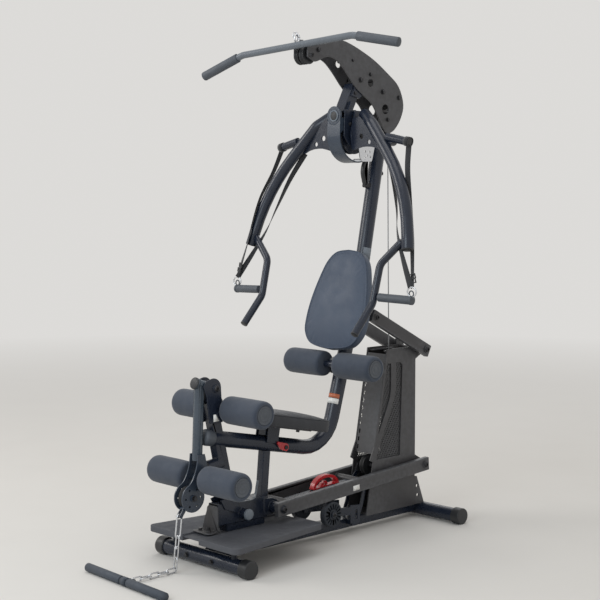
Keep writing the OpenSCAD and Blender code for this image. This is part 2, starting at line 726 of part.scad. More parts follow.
grip_in = [352, 178, 1035.4];
grip_out = [504, 190, 1031];
module side_grips() color([0.33, 0.35, 0.38]) both_sides() {
    rod(grip_in, grip_out, 34);
    rod(grip_out, grip_out + [10, 0.8, -0.3], 36);
    place(grip_out + [5, 0, 26], [1, 0, 0], [0, 1, 0]) rotate_extrude()
        translate([11, 0]) circle(d = 5);
}

// Webbing straps from the grips up to the outriggers and the inner gussets
strap_w = 30;
strap_t = 2.4;
module strap(p) {
    for (i = [0:len(p) - 2]) {
        v = p[i + 1] - p[i];
        z = unit(v);
        place(p[i], unit(cross([0.35, 1, 0], z)), z)
            translate([-strap_w / 2, -strap_t / 2, 0]) cube([strap_w, strap_t, norm(v)]);
    }
}
ring_top = grip_out + [5, 0, 40];
module straps() color(rubber) both_sides() {
    strap([ring_top + [3, 4, 0], [470, 276, 1288], [374, 330, 1636]]);
    strap([ring_top + [-3, -4, 0], [398, 290, 1262], [236, 346, 1618]]);
}

sector_holes = [[417, 1628], [444, 1627], [430, 1611], [415, 1600], [450, 1606]];
module sector_plate() color(zinc) difference() {
    plate(46.5, 51.5) polygon([each arc(hub_c, 38, 40, -110, 8), [386, 1602],
        each arc([404, 1594], 9, 190, 280, 4), each arc([452, 1595], 9, 280, 350, 4),
        [477, 1650], [446, 1712]]);
    for (h = sector_holes) pin(h, 9, 40, 60);
    pin(hub_c, hub_d, 40, 60);
}

// D-shaped release lever in front of the mast
release_grip = [[468, 1478], [458, 1506], [450, 1545], [461, 1586], [480, 1600]];
release_inner = [[487, 1590], [473, 1578], [463, 1545], [471, 1512], [483, 1498]];
module release_handle() color(rubber) difference() {
    plate(-8, 8) polygon(concat(curve(release_grip), curve(release_inner),
        [[485, 1484], [480, 1477]]));
    pin(release_c, 8 + 2 * fit, -20, 20);
}

// ---- lat bar ----
lat_c = [0, 57, 2046];
lat_half = 268;
lat_grip_len = 206;
lat_droop = 16;
module at_lat() translate(lat_c) rotate([0, 0, 12]) rotate([0, -4.8, 0]) children();
lat_end = [lat_half + lat_grip_len * cos(lat_droop), 0, -lat_grip_len * sin(lat_droop)];
module lat_bar() color([0.35, 0.38, 0.42]) at_lat() {
    bent_tube([[-lat_end.x, 0, lat_end.z], [-lat_half, 0, 0], [lat_half, 0, 0], lat_end],
        [90, 90], lat_d, 0, [0, 1, 0], 20);
}

module lat_grips() color([0.33, 0.35, 0.38]) at_lat() both_sides()
    rod([lat_half + 26 * cos(lat_droop), 0, -26 * sin(lat_droop)],
        lat_end + [4, 0, -1.2], lat_grip_d, (lat_grip_d - lat_d) / 2);

module lat_hook() color(zinc) {
    translate(lat_c + [0, 0, lat_d / 2 - 1]) cylinder(d = 12, h = 9);
    at_lat() translate([0, 0, lat_d / 2 - 2]) rotate([0, 0, 90]) rotate([12, 0, 0])
        link(34, 24, 6);
}

// ---- low pulley chain and bar ----
link_len = 54;
play = 0.4;                // slack between two links
pitch = link_len - 2 * chain_d - 2 * play;
hook_len = 97;
hook_d = 7;
shackle_d = 8;
module chain(n) for (i = [0:n - 1]) translate([0, 0, i * pitch])
    rotate([0, 0, i % 2 ? 90 : 0]) link(link_len, 23, chain_d);

// The chain hangs from the shackle pin and turns towards the bar at chain_bend
hang = unit(hook_top - chain_bend);
hang_top = shackle_d / 2 + hook_d + play;
hang_links = 3;
module chain_upper() color(zinc) place([0, hook_top[0] + hang[0] * hang_top,
        hook_top[1] + hang[1] * hang_top], [1, 0, 0], [0, -hang[0], -hang[1]]) {
    rotate([0, 0, 90]) link(hook_len, 30, hook_d);
    translate([0, 0, hook_len - hook_d - chain_d - play]) chain(hang_links);
}

module chain_lower() color(zinc)
    translate([0, chain_bend[0] + chain_d * 1.5 + play, chain_bend[1]]) rotate([90, 0, 0])
        rotate([0, 0, 90]) chain(5);

bar_pin = [chain_bend[0] + chain_d * 3 + 2 * play - 4 * pitch - link_len, chain_bend[1]];
low_bar_c = [4, bar_pin[0] - 38, 17];
module low_bar() color([0.32, 0.35, 0.39]) {
    translate(low_bar_c) rotate([0, 90, -3]) {
        cylinder(d = 26, h = low_bar_len, center = true);
        for (s = [-1, 1]) translate([0, 0, s * (low_bar_len / 4 + 14)])
            cylinder(d = 33, h = low_bar_len / 2 - 22, center = true);
        cylinder(d = 34, h = 30, center = true);
    }
    pin(bar_pin, chain_d, -10, 10);
    both_sides() plate(6, 10) polygon([each arc(bar_pin, 7, -80, 80, 5),
        [low_bar_c.y + 8, 26], [low_bar_c.y + 8, 8]]);
}

front_foot_tube();
rear_foot_tube();
foot_caps();
floor_beam();
platform_stops();
tower_frame();
tower_mesh();
front_guard();
wheel_brackets();
tower_pulley();
wheel_left();
wheel_right();
lower_link_bars();
selector_rail();
selector_trolley();
selector_handle();
foot_plates();
carriage_beam();
front_bracket();
seat_post();
mast();
upright();
roller_axles();
backrest_bracket();
backrest();
arch_plates();
hub_bracket();
hub_shield();
carriage_fasteners();
arch_front_pulleys();
arch_rear_pulley();
rear_cable();
seat();
seat_bracket();
seat_latch();
thigh_roller_left();
thigh_roller_right();
mast_roller_left();
mast_roller_right();
upper_link_bars();
lever_tube();
lever_plates();
low_pulley();
lower_roller_left();
lower_roller_right();
yoke_hub();
arm_left();
arm_right();
handle_left();
handle_right();
side_grips();
straps();
sector_plate();
release_handle();
lat_bar();
lat_grips();
lat_hook();
chain_upper();
chain_lower();
low_bar();
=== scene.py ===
"""Looks of the multi station home gym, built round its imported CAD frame.

Metres, +Z up; the machine's front faces -Y and X = 0 is its plane of symmetry."""
import json
import math

import bmesh
import bpy
from mathutils import Matrix, Vector, noise


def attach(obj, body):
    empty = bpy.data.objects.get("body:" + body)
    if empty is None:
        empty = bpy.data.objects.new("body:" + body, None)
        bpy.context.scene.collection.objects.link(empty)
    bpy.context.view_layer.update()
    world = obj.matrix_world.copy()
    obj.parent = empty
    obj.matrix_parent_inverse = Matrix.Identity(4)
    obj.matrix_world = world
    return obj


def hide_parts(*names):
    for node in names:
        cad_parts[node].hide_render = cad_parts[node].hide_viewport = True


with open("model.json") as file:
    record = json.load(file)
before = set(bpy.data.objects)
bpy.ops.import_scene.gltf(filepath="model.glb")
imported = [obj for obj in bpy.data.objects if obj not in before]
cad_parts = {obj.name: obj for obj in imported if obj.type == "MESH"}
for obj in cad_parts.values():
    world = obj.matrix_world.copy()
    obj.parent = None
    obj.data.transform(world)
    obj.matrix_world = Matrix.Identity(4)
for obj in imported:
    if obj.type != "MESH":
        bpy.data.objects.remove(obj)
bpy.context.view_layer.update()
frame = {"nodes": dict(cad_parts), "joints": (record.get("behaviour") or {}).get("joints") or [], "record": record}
nodes = frame["nodes"]
pivot = {j["name"]: Vector(j["pos_m"]) for j in frame["joints"] if "pos_m" in j}
SIDES = {"left": -1, "right": 1}
X, Y, Z = Vector((1, 0, 0)), Vector((0, 1, 0)), Vector((0, 0, 1))


# ---- camera, light and floor ----
CAMERA_AT = Vector((3.810, -3.637, 1.398))
CAMERA_AZIMUTH = math.radians(46.1)
CAMERA_DIP = math.radians(3.93)
CAMERA_LENS = 77.8
CAMERA_SHIFT = (0.0152, -0.0083)
FLOOR_HALF = 30
BACKDROP = (1.0, 0.985, 0.96)
BACKDROP_STRENGTH = 0.72


def make_camera():
    data = bpy.data.cameras.new("camera")
    data.lens = CAMERA_LENS
    data.shift_x, data.shift_y = CAMERA_SHIFT
    cam = bpy.data.objects.new("camera", data)
    forward = Vector((-math.sin(CAMERA_AZIMUTH) * math.cos(CAMERA_DIP),
                      math.cos(CAMERA_AZIMUTH) * math.cos(CAMERA_DIP), -math.sin(CAMERA_DIP)))
    cam.location = CAMERA_AT
    cam.rotation_mode = "QUATERNION"
    cam.rotation_quaternion = forward.to_track_quat("-Z", "Y")
    bpy.context.scene.collection.objects.link(cam)
    bpy.context.scene.camera = cam


def make_light(name, at, target, size, power, color):
    data = bpy.data.lights.new(name, "AREA")
    data.shape, data.size, data.energy, data.color = "DISK", size, power, color
    lamp = bpy.data.objects.new(name, data)
    lamp.location = at
    lamp.rotation_mode = "QUATERNION"
    lamp.rotation_quaternion = (Vector(target) - Vector(at)).to_track_quat("-Z", "Y")
    bpy.context.scene.collection.objects.link(lamp)


def make_stage():
    world = bpy.data.worlds.new("studio")
    bpy.context.scene.world = world
    world.use_nodes = True
    sky = world.node_tree.nodes["Background"]
    sky.inputs["Color"].default_value = (*BACKDROP, 1)
    sky.inputs["Strength"].default_value = BACKDROP_STRENGTH
    bpy.context.scene.view_settings.view_transform = "Standard"
    mesh = bpy.data.meshes.new("floor")
    half = FLOOR_HALF
    mesh.from_pydata([(-half, -half, 0), (half, -half, 0), (half, half, 0), (-half, half, 0)],
                     [], [(0, 1, 2, 3)])
    floor = bpy.data.objects.new("floor", mesh)
    floor.data.materials.append(floor_material())
    bpy.context.scene.collection.objects.link(floor)
    make_light("key", (-3.4, -3.0, 3.4), (0, 0, 1.0), 2.4, 60, (1, 0.985, 0.96))
    make_light("top", (0.4, -0.6, 4.6), (0, 0.1, 0.8), 2.6, 30, (1, 1, 1))
    make_light("front", (0.9, -4.6, 2.6), (0, 0, 1.1), 2.6, 62, (0.80, 0.91, 1.0))
    make_light("rim", (-2.4, 3.4, 3.0), (0, 0.3, 1.2), 1.6, 12, (0.94, 0.97, 1))


# ---- materials ----
class Shader:
    """A Principled material whose colour, roughness and bump come from procedural textures."""

    def __init__(self, name, color, roughness, **sockets):
        self.material = bpy.data.materials.new(name)
        self.material.use_nodes = True
        self.tree = self.material.node_tree
        self.bsdf = self.tree.nodes["Principled BSDF"]
        self.bsdf.inputs["Base Color"].default_value = (*color, 1)
        self.bsdf.inputs["Roughness"].default_value = roughness
        for socket, value in sockets.items():
            self.bsdf.inputs[socket.replace("_", " ").title()
                             .replace("Ior", "IOR")].default_value = value
        self.coord = self.tree.nodes.new("ShaderNodeTexCoord")
        self.space = "Object"

    def node(self, kind, **values):
        made = self.tree.nodes.new("ShaderNode" + kind)
        for key, value in values.items():
            setattr(made, key, value)
        return made

    def link(self, source, target):
        self.tree.links.new(source, target)

    def noise(self, scale, detail=2.0):
        texture = self.node("TexNoise")
        texture.inputs["Scale"].default_value = scale
        texture.inputs["Detail"].default_value = detail
        self.link(self.coord.outputs[self.space], texture.inputs["Vector"])
        return texture.outputs["Fac"]

    def cells(self, scale, feature="F1"):
        texture = self.node("TexVoronoi", feature=feature)
        texture.inputs["Scale"].default_value = scale
        self.link(self.coord.outputs[self.space], texture.inputs["Vector"])
        return texture.outputs["Distance"]

    def between(self, value, low, high, to_low=0.0, to_high=1.0):
        remap = self.node("MapRange")
        for socket, number in zip(("From Min", "From Max", "To Min", "To Max"),
                                  (low, high, to_low, to_high)):
            remap.inputs[socket].default_value = number
        self.link(value, remap.inputs["Value"])
        return remap.outputs["Result"]

    def math(self, operation, a, b):
        made = self.node("Math", operation=operation)
        for i, value in enumerate((a, b)):
            if isinstance(value, (int, float)):
                made.inputs[i].default_value = value
            else:
                self.link(value, made.inputs[i])
        return made.outputs[0]

    def tint(self, amount, color):
        """Mixes color over the base colour so far by a 0 to 1 texture value."""
        mix = self.node("Mix", data_type="RGBA")
        base = self.bsdf.inputs["Base Color"]
        if base.is_linked:
            self.link(base.links[0].from_socket, mix.inputs["A"])
        else:
            mix.inputs["A"].default_value = base.default_value[:]
        mix.inputs["B"].default_value = (*color, 1)
        self.link(amount, mix.inputs["Factor"])
        self.link(mix.outputs["Result"], base)
        return self

    def rough(self, value, low, high):
        self.link(self.between(value, 0.3, 0.7, low, high), self.bsdf.inputs["Roughness"])
        return self

    def bump(self, height, depth, strength=1.0):
        made = self.node("Bump")
        made.inputs["Strength"].default_value = strength
        made.inputs["Distance"].default_value = depth
        self.link(height, made.inputs["Height"])
        normal = self.bsdf.inputs["Normal"]
        if normal.is_linked:
            self.link(normal.links[0].from_socket, made.inputs["Normal"])
        self.link(made.outputs["Normal"], normal)
        return self

    def edges(self, color, amount=0.5):
        """Lightens worn convex edges."""
        point = self.node("NewGeometry").outputs["Pointiness"]
        worn = self.math("MULTIPLY", self.between(point, 0.52, 0.60),
                         self.between(self.noise(60, 4), 0.35, 0.65, 0.25, 1.0))
        return self.tint(self.math("MULTIPLY", worn, amount), color)


def floor_material():
    """Matt floor that fades into the backdrop's tone away from the machine."""
    s = Shader("floor", (0.66, 0.645, 0.62), 0.7, specular_ior_level=0.0)
    s.tint(s.between(s.noise(3, 3), 0.3, 0.7, 0, 0.35), (0.63, 0.615, 0.59))
    reach = s.node("VectorMath", operation="LENGTH")
    s.link(s.coord.outputs["Object"], reach.inputs[0])
    far = s.between(reach.outputs["Value"], 2.2, 9.0)
    s.tint(far, (0, 0, 0))
    s.bsdf.inputs["Emission Color"].default_value = (*BACKDROP, 1)
    s.link(s.math("MULTIPLY", far, BACKDROP_STRENGTH), s.bsdf.inputs["Emission Strength"])
    return s.material


def powder_coat(name, color, roughness, edge=None, peel=900, metallic=0.0):
    """Satin powder coat: fine orange peel, faint mottling, lighter rubbed edges if edge is set."""
    s = Shader(name, color, roughness, metallic=metallic)
    light = tuple(c * 1.22 for c in color)
    dark = tuple(c * 0.82 for c in color)
    s.tint(s.between(s.noise(9, 4), 0.35, 0.7, 0, 0.7), light)
    s.tint(s.between(s.noise(2200, 1), 0.55, 0.75, 0, 0.5), dark)
    if edge:
        s.edges(edge, 0.4)
    s.rough(s.noise(35, 3), roughness - 0.05, roughness + 0.07)
    s.bump(s.noise(peel, 1), 0.00005, 0.5)
    return s.material


def vinyl_material(name, color, mottle, crease_shade):
    """Upholstery vinyl: leather grain of two sizes with painted shade in its creases, soft mottling, slight sheen
    in use.
    """
    s = Shader(name, color, 0.5, sheen_weight=0.1, sheen_roughness=0.5)
    s.tint(s.between(s.noise(7, 3), 0.35, 0.7, 0, 0.6), mottle)
    # darker along the grain's creases, the bump's valleys: painted shade
    s.tint(s.between(s.cells(620, "DISTANCE_TO_EDGE"), 0.0, 0.12, 0.45, 0.0), crease_shade)
    s.rough(s.noise(22, 3), 0.44, 0.58)
    s.bump(s.cells(620, "DISTANCE_TO_EDGE"), 0.00035, 0.5)
    s.bump(s.noise(260, 3), 0.0004, 0.35)
    return s.material


def foam_material():
    """Closed-cell foam: a dull skin with fine pores, painted shade in the pores, and faint scuffs."""
    s = Shader("foam", (0.027, 0.038, 0.060), 0.8, sheen_weight=0.15, sheen_roughness=0.6)
    s.tint(s.between(s.noise(14, 4), 0.35, 0.7, 0, 0.6), (0.036, 0.049, 0.074))
    # darker in the pores, the bump's pits: painted shade
    s.tint(s.between(s.cells(900), 0.0, 0.35, 0.5, 0.0), (0.016, 0.023, 0.037))
    s.rough(s.noise(40, 2), 0.76, 0.9)
    s.bump(s.cells(900), 0.0003, 0.45)
    s.bump(s.noise(120, 3), 0.0006, 0.35)
    return s.material


def plastic(name, color, roughness, grain=700, depth=0.00012, **sockets):
    s = Shader(name, color, roughness, **sockets)
    s.tint(s.between(s.noise(25, 3), 0.35, 0.7, 0, 0.5), tuple(c * 1.3 for c in color))
    s.rough(s.noise(60, 2), roughness - 0.05, roughness + 0.08)
    s.bump(s.noise(grain, 2), depth, 0.5)
    return s.material


def deck_material():
    """Moulded foot plate: a pebbled anti-slip skin with a little dust in it."""
    s = Shader("deck_plastic", (0.062, 0.066, 0.078), 0.7)
    s.tint(s.between(s.cells(260, "SMOOTH_F1"), 0.1, 0.5, 0.5, 0.0), (0.082, 0.087, 0.101))
    s.tint(s.between(s.noise(5, 5), 0.45, 0.75, 0, 0.5), (0.090, 0.092, 0.100))
    s.rough(s.noise(30, 2), 0.62, 0.8)
    s.bump(s.cells(260, "SMOOTH_F1"), 0.0006, 0.5)
    return s.material


def zinc_material():
    """Bright zinc plate with faint spangle and rubbed marks."""
    s = Shader("zinc", (0.70, 0.71, 0.73), 0.3, metallic=1.0)
    s.tint(s.between(s.cells(380), 0.1, 0.6, 0.0, 0.4), (0.55, 0.56, 0.58))
    s.rough(s.noise(90, 3), 0.22, 0.4)
    s.bump(s.noise(500, 2), 0.00008, 0.5)
    return s.material


def webbing_material():
    """Woven nylon: ribs across the strap and a herringbone of yarns, from the UV map."""
    s = Shader("webbing", (0.020, 0.021, 0.024), 0.85, sheen_weight=0.3, sheen_roughness=0.4)
    s.space = "UV"
    weave = s.node("TexWave", wave_type="BANDS", bands_direction="DIAGONAL")
    weave.inputs["Scale"].default_value = 260
    weave.inputs["Distortion"].default_value = 0.4
    rib = s.node("TexWave", wave_type="BANDS", bands_direction="Y")
    rib.inputs["Scale"].default_value = 180
    for wave in (weave, rib):
        s.link(s.coord.outputs["UV"], wave.inputs["Vector"])
    cloth = s.math("MULTIPLY", weave.outputs["Fac"], rib.outputs["Fac"])
    s.tint(s.between(cloth, 0.2, 0.9, 0, 0.8), (0.045, 0.047, 0.052))
    s.rough(s.noise(200, 2), 0.78, 0.92)
    s.bump(cloth, 0.0004, 0.7)
    return s.material


def sheath_material():
    """Steel cable under clear nylon: a fine twist shows through."""
    s = Shader("cable_sheath", (0.42, 0.43, 0.45), 0.3, metallic=0.6, coat_weight=0.5)
    twist = s.node("TexWave", wave_type="BANDS", bands_direction="DIAGONAL")
    twist.inputs["Scale"].default_value = 220
    s.link(s.coord.outputs["Object"], twist.inputs["Vector"])
    s.tint(s.between(twist.outputs["Fac"], 0.2, 0.8, 0, 0.7), (0.2, 0.21, 0.22))
    s.bump(twist.outputs["Fac"], 0.0002, 0.5)
    return s.material


EDGE = (0.20, 0.215, 0.24)
MATERIALS = {
    "frame_paint": powder_coat("frame_paint", (0.0110, 0.0160, 0.0290), 0.26),
    "plate_paint": powder_coat("plate_paint", (0.040, 0.039, 0.042), 0.42, EDGE, 1200),
    "lever_paint": powder_coat("lever_paint", (0.030, 0.042, 0.062), 0.27),
    "deck_plastic": deck_material(),
    "black_plastic": plastic("black_plastic", (0.018, 0.019, 0.021), 0.42),
    "black_rubber": plastic("black_rubber", (0.012, 0.016, 0.024), 0.66, 400, 0.0002),
    "grip_rubber": plastic("grip_rubber", (0.062, 0.071, 0.085), 0.55, 500, 0.0003),
    "foam": foam_material(),
    "vinyl": vinyl_material("vinyl", (0.034, 0.053, 0.090), (0.042, 0.065, 0.107),
                            (0.022, 0.034, 0.058)),
    "webbing": webbing_material(),
    "smoked_mesh": powder_coat("smoked_mesh", (0.058, 0.058, 0.062), 0.46, EDGE, 1200),
    "red_plastic": plastic("red_plastic", (0.42, 0.012, 0.018), 0.3, 900, 0.00005,
                           coat_weight=0.4, coat_roughness=0.15),
    "zinc": zinc_material(),
}
SHEATH = sheath_material()
STICKER = plastic("sticker", (0.70, 0.70, 0.68), 0.35, 300, 0.00005)
BAND = plastic("label_band", (0.45, 0.13, 0.06), 0.35, 300, 0.00005)
BLACKENED = powder_coat("blackened_steel", (0.016, 0.016, 0.018), 0.3, (0.11, 0.11, 0.12),
                        metallic=0.5)
LIGHT_PLUG = plastic("grey_plug", (0.15, 0.175, 0.205), 0.5, 500, 0.0002)
BAR_PAINT = powder_coat("bar_paint", (0.115, 0.130, 0.150), 0.28)
BAR_FOAM = plastic("bar_foam", (0.040, 0.050, 0.066), 0.6, 500, 0.0003)
# Seat cover: a far darker copy of the backrest's vinyl, its colour painted shade for the shadow the seat sits in
SHADED_SEAT_VINYL = vinyl_material("shaded_seat_vinyl", (0.012, 0.014, 0.020), (0.017, 0.020, 0.027),
                            (0.007, 0.009, 0.013))
TUBE_PAINT = powder_coat("tube_paint", (0.050, 0.066, 0.086), 0.27)
MATERIAL_OF = {"lever_tube": TUBE_PAINT, "rear_cable": SHEATH, "lat_bar": BAR_PAINT,
               "carriage_fasteners": BLACKENED, "low_bar": BAR_FOAM,
               "hub_shield": MATERIALS["lever_paint"]}
SLOT_OF = {part["node"]: part["material_slot"] for part in frame["record"]["subparts"]}


# ---- CAD nodes that are shown: rounded edges and smooth shading ----
EDGE_ROUND_MOST = 0.001
EDGE_ROUND = {
    "lower_link_bars": 0.0035, "upper_link_bars": 0.0035, "foot_plates": 0.0045,
    "arch_plates": 0.0012, "foot_caps": 0.0015, "carriage_beam": 0.0025, "seat_post": 0.003,
    "upright": 0.0015, "floor_beam": 0.003, "tower_frame": 0.0009, "yoke_hub": 0.0011,
    "hub_bracket": 0.0015, "selector_handle": 0.0028, "seat_latch": 0.002,
    "selector_trolley": 0.0025, "selector_rail": 0.002, "release_handle": 0.003,
    "lever_plates": 0.0012, "hub_shield": 0.0012, "front_guard": 0.0006,
    "front_bracket": 0.0015, "chain_upper": 0, "chain_lower": 0, "rear_cable": 0,
    "sector_plate": 0.0009, "low_bar": 0,
}
# Nodes with edges so close together that a bevel has to stop where it meets the next one
FINE_EDGED = {"lever_plates", "side_grips", "selector_handle", "foot_plates"}
# Nodes made of faceted tube, whose normals are averaged so that it looks round
ROUND_TUBES = {"mast", "arm_left", "arm_right", "handle_left", "handle_right", "lat_bar",
               "lat_grips", "lever_tube", "side_grips"}


def refine(node, width):
    """Rounds the sharp edges of a CAD node and shades it smooth."""
    o = nodes[node]
    for polygon in o.data.polygons:
        polygon.use_smooth = True
        polygon.material_index = 0
    weld = o.modifiers.new("weld", "WELD")
    weld.merge_threshold = 0.00002
    if node not in ROUND_TUBES:
        flat = o.modifiers.new("flat", "DECIMATE")
        flat.decimate_type = "DISSOLVE"
        flat.angle_limit = math.radians(0.6)
    if width:
        bevel = o.modifiers.new("bevel", "BEVEL")
        bevel.width, bevel.segments = width, 2
        bevel.limit_method, bevel.angle_limit = "ANGLE", math.radians(36)
        bevel.use_clamp_overlap = node in FINE_EDGED
        bevel.miter_outer = "MITER_ARC"
    normals = o.modifiers.new("normals", "WEIGHTED_NORMAL")
    normals.mode = "CORNER_ANGLE" if node in ROUND_TUBES else "FACE_AREA"
    normals.weight = 50 if node in ROUND_TUBES else 60
    normals.keep_sharp = False


def dress_cad_nodes():
    for name, o in nodes.items():
        o.data.materials.clear()
        o.data.materials.append(MATERIAL_OF.get(name, MATERIALS[SLOT_OF[name]]))
        refine(name, EDGE_ROUND.get(name, EDGE_ROUND_MOST))


# ---- mesh helpers ----
def face_outward(mesh):
    work = bmesh.new()
    work.from_mesh(mesh)
    bmesh.ops.recalc_face_normals(work, faces=work.faces)
    work.to_mesh(mesh)
    work.free()


def add_piece(name, verts, faces, slot, body, smooth=True, material=None, uvs=None):
    mesh = bpy.data.meshes.new(name)
    mesh.from_pydata([tuple(v) for v in verts], [], faces)
    mesh.validate()
    if uvs:
        layer = mesh.uv_layers.new(name="UVMap")
        for loop in mesh.loops:
            layer.data[loop.index].uv = uvs[loop.vertex_index]
    face_outward(mesh)
    for polygon in mesh.polygons:
        polygon.use_smooth = smooth
    o = bpy.data.objects.new(name, mesh)
    bpy.context.scene.collection.objects.link(o)
    o.data.materials.append(material or MATERIALS[slot])
    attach(o, body)
    return o


def soften(o, width, segments=2, angle=32):
    bevel = o.modifiers.new("bevel", "BEVEL")
    bevel.width, bevel.segments = width, segments
    bevel.limit_method, bevel.angle_limit = "ANGLE", math.radians(angle)
    bevel.use_clamp_overlap = False
    normals = o.modifiers.new("normals", "WEIGHTED_NORMAL")
    normals.weight = 60
    normals.keep_sharp = False
    return o


class Shape:
    """Vertices and faces gathered from several forms, made into one piece at the end."""

    def __init__(self):
        self.verts, self.faces, self.uvs = [], [], []

    def add(self, verts, faces, uvs=None):
        base = len(self.verts)
        self.verts += [Vector(v) for v in verts]
        self.faces += [tuple(base + i for i in f) for f in faces]
        self.uvs += uvs or [(0, 0)] * len(verts)
        return self

    def lathe(self, at, axis, profile, n=40):
        """Turns (radius, height) pairs about axis; radius 0 closes an end."""
        axis = Vector(axis).normalized()
        side = axis.orthogonal().normalized()
        other = axis.cross(side)
        verts, faces, rows = [], [], []
        for radius, height in profile:
            centre = Vector(at) + axis * height
            if radius < 1e-7:
                rows.append([len(verts)] * n)
                verts.append(centre)
                continue
            rows.append(list(range(len(verts), len(verts) + n)))
            verts += [centre + radius * (math.cos(t) * side + math.sin(t) * other)
                      for t in (2 * math.pi * k / n for k in range(n))]
        for low, high in zip(rows, rows[1:]):
            for k in range(n):
                j = (k + 1) % n
                face = [low[k], low[j], high[j], high[k]]
                face = [v for i, v in enumerate(face) if v not in face[:i]]
                if len(face) > 2:
                    faces.append(face)
        return self.add(verts, faces)

    def tube(self, path, radius, n=16, closed=False):
        """Round tube along a path; its ends are domed. radius is a number or one per point."""
        path = [Vector(p) for p in path]
        radii = radius if isinstance(radius, (list, tuple)) else [radius] * len(path)
        m = len(path)
        ahead = [(path[(i + 1) % m] - path[i - 1]) if closed or 0 < i < m - 1 else
                 (path[min(i + 1, m - 1)] - path[max(i - 1, 0)]) for i in range(m)]
        side = ahead[0].normalized().orthogonal().normalized()
        verts, faces = [], []
        for i in range(m):
            along = ahead[i].normalized()
            side = (side - along * side.dot(along)).normalized()
            other = along.cross(side)
            verts += [path[i] + radii[i] * (math.cos(t) * side + math.sin(t) * other)
                      for t in (2 * math.pi * k / n for k in range(n))]
        for i in range(m if closed else m - 1):
            for k in range(n):
                j = (k + 1) % n
                a, b = i * n, ((i + 1) % m) * n
                faces.append((a + k, a + j, b + j, b + k))
        if not closed:
            for i, along in ((0, -ahead[0].normalized()), (m - 1, ahead[-1].normalized())):
                ring, centre = [i * n + k for k in range(n)], path[i]
                for lift, share in ((0.5, 0.86), (0.8, 0.55)):
                    start = len(verts)
                    verts += [centre + (verts[v] - centre) * share / (1 if lift == 0.5 else 0.86)
                              + along * radii[i] * 0.35 * (lift if lift == 0.5 else 0.25)
                              for v in ring]
                    made = list(range(start, start + n))
                    centre = sum((verts[v] for v in made), Vector()) / n
                    faces += [(ring[k], ring[(k + 1) % n], made[(k + 1) % n], made[k])
                              for k in range(n)]
                    ring = made
                faces.append(tuple(ring))
        return self.add(verts, faces)

    def slab(self, outline, low, high, place=Matrix()):
        """Extrudes an outline of (x, y) points from low to high, then places it."""
        n = len(outline)
        verts = [place @ Vector((x, y, z)) for z in (low, high) for x, y in outline]
        faces = [tuple(range(n)), tuple(range(2 * n - 1, n - 1, -1))]
        faces += [(k, (k + 1) % n, n + (k + 1) % n, n + k) for k in range(n)]
        return self.add(verts, faces)

    def box(self, low, high, place=Matrix()):
        outline = [(low[0], low[1]), (high[0], low[1]), (high[0], high[1]), (low[0], high[1])]
        return self.slab(outline, low[2], high[2], place)

    def mirrored(self):
        """Adds the mirror image in X of all there is."""
        verts = [Vector((-v.x, v.y, v.z)) for v in self.verts]
        return self.add(verts, [tuple(reversed(f)) for f in self.faces], list(self.uvs))

    def piece(self, name, slot, body, smooth=True, material=None):
        return add_piece(name, self.verts, self.faces, slot, body, smooth, material, self.uvs)


def frame_at(at, normal, up=Z):
    """Matrix whose local Z is normal and whose local Y is as near to up as it can be."""
    z = Vector(normal).normalized()
    x = Vector(up).cross(z).normalized()
    y = z.cross(x)
    m = Matrix((x, y, z)).transposed().to_4x4()
    m.translation = Vector(at)
    return m


def spline(points, per_span=6):
    """Smooth curve through points of any size."""
    p = [Vector(q) for q in points]
    out = []
    for i in range(len(p) - 1):
        a, b, c, d = p[max(i - 1, 0)], p[i], p[i + 1], p[min(i + 2, len(p) - 1)]
        for k in range(per_span):
            t = k / per_span
            out.append(0.5 * (2 * b + (c - a) * t + (2 * a - 5 * b + 4 * c - d) * t ** 2
                              + (3 * b - a - 3 * c + d) * t ** 3))
    return out + [p[-1]]


def hex_bolt(shape, at, axis, across, height, washer=True):
    """Hex head with a chamfered top on a washer, its foot at the point at."""
    axis = Vector(axis).normalized()
    r = across / math.sqrt(3)
    if washer:
        shape.lathe(at, axis, [(0, 0), (r * 1.3, 0), (r * 1.36, across * 0.02),
                               (r * 1.36, across * 0.1), (r * 1.28, across * 0.13),
                               (0, across * 0.13)], 28)
    at = Vector(at) + axis * across * 0.12
    side = axis.orthogonal().normalized()
    other = axis.cross(side)
    verts = []
    for radius, lift in ((r, 0), (r, height * 0.86), (r * 0.88, height)):
        verts += [at + axis * lift + radius * (math.cos(t) * side + math.sin(t) * other)
                  for t in (math.pi * k / 3 for k in range(6))]
    faces = [(k + 6 * i, (k + 1) % 6 + 6 * i, (k + 1) % 6 + 6 * i + 6, k + 6 * i + 6)
             for i in (0, 1) for k in range(6)]
    shape.add(verts, faces + [tuple(range(12, 18)), tuple(range(5, -1, -1))])


def socket_screw(shape, at, axis, d, height):
    """Button head screw with a hexagon socket, its foot at the point at."""
    r = d / 2
    shape.lathe(at, axis, [(0, 0), (r, 0), (r, height * 0.25), (r * 0.86, height * 0.72),
                           (r * 0.6, height), (r * 0.42, height), (r * 0.38, height * 0.9),
                           (r * 0.36, height * 0.4), (0, height * 0.35)], 24)


# ---- padded pieces ----
def resample(points, n):
    """n points evenly spaced along a closed outline."""
    p = [Vector(q).to_2d() for q in points]
    lengths = [(p[(i + 1) % len(p)] - p[i]).length for i in range(len(p))]
    total, out, i, walked = sum(lengths), [], 0, 0.0
    for k in range(n):
        want = total * k / n
        while walked + lengths[i] < want:
            walked += lengths[i]
            i += 1
        out.append(p[i].lerp(p[(i + 1) % len(p)], (want - walked) / max(lengths[i], 1e-9)))
    return out


def inward(points):
    """Unit normals pointing into a closed anticlockwise outline."""
    n = len(points)
    out = []
    for i in range(n):
        d = points[(i + 1) % n] - points[i - 1]
        out.append(Vector((-d.y, d.x)).normalized())
    return out


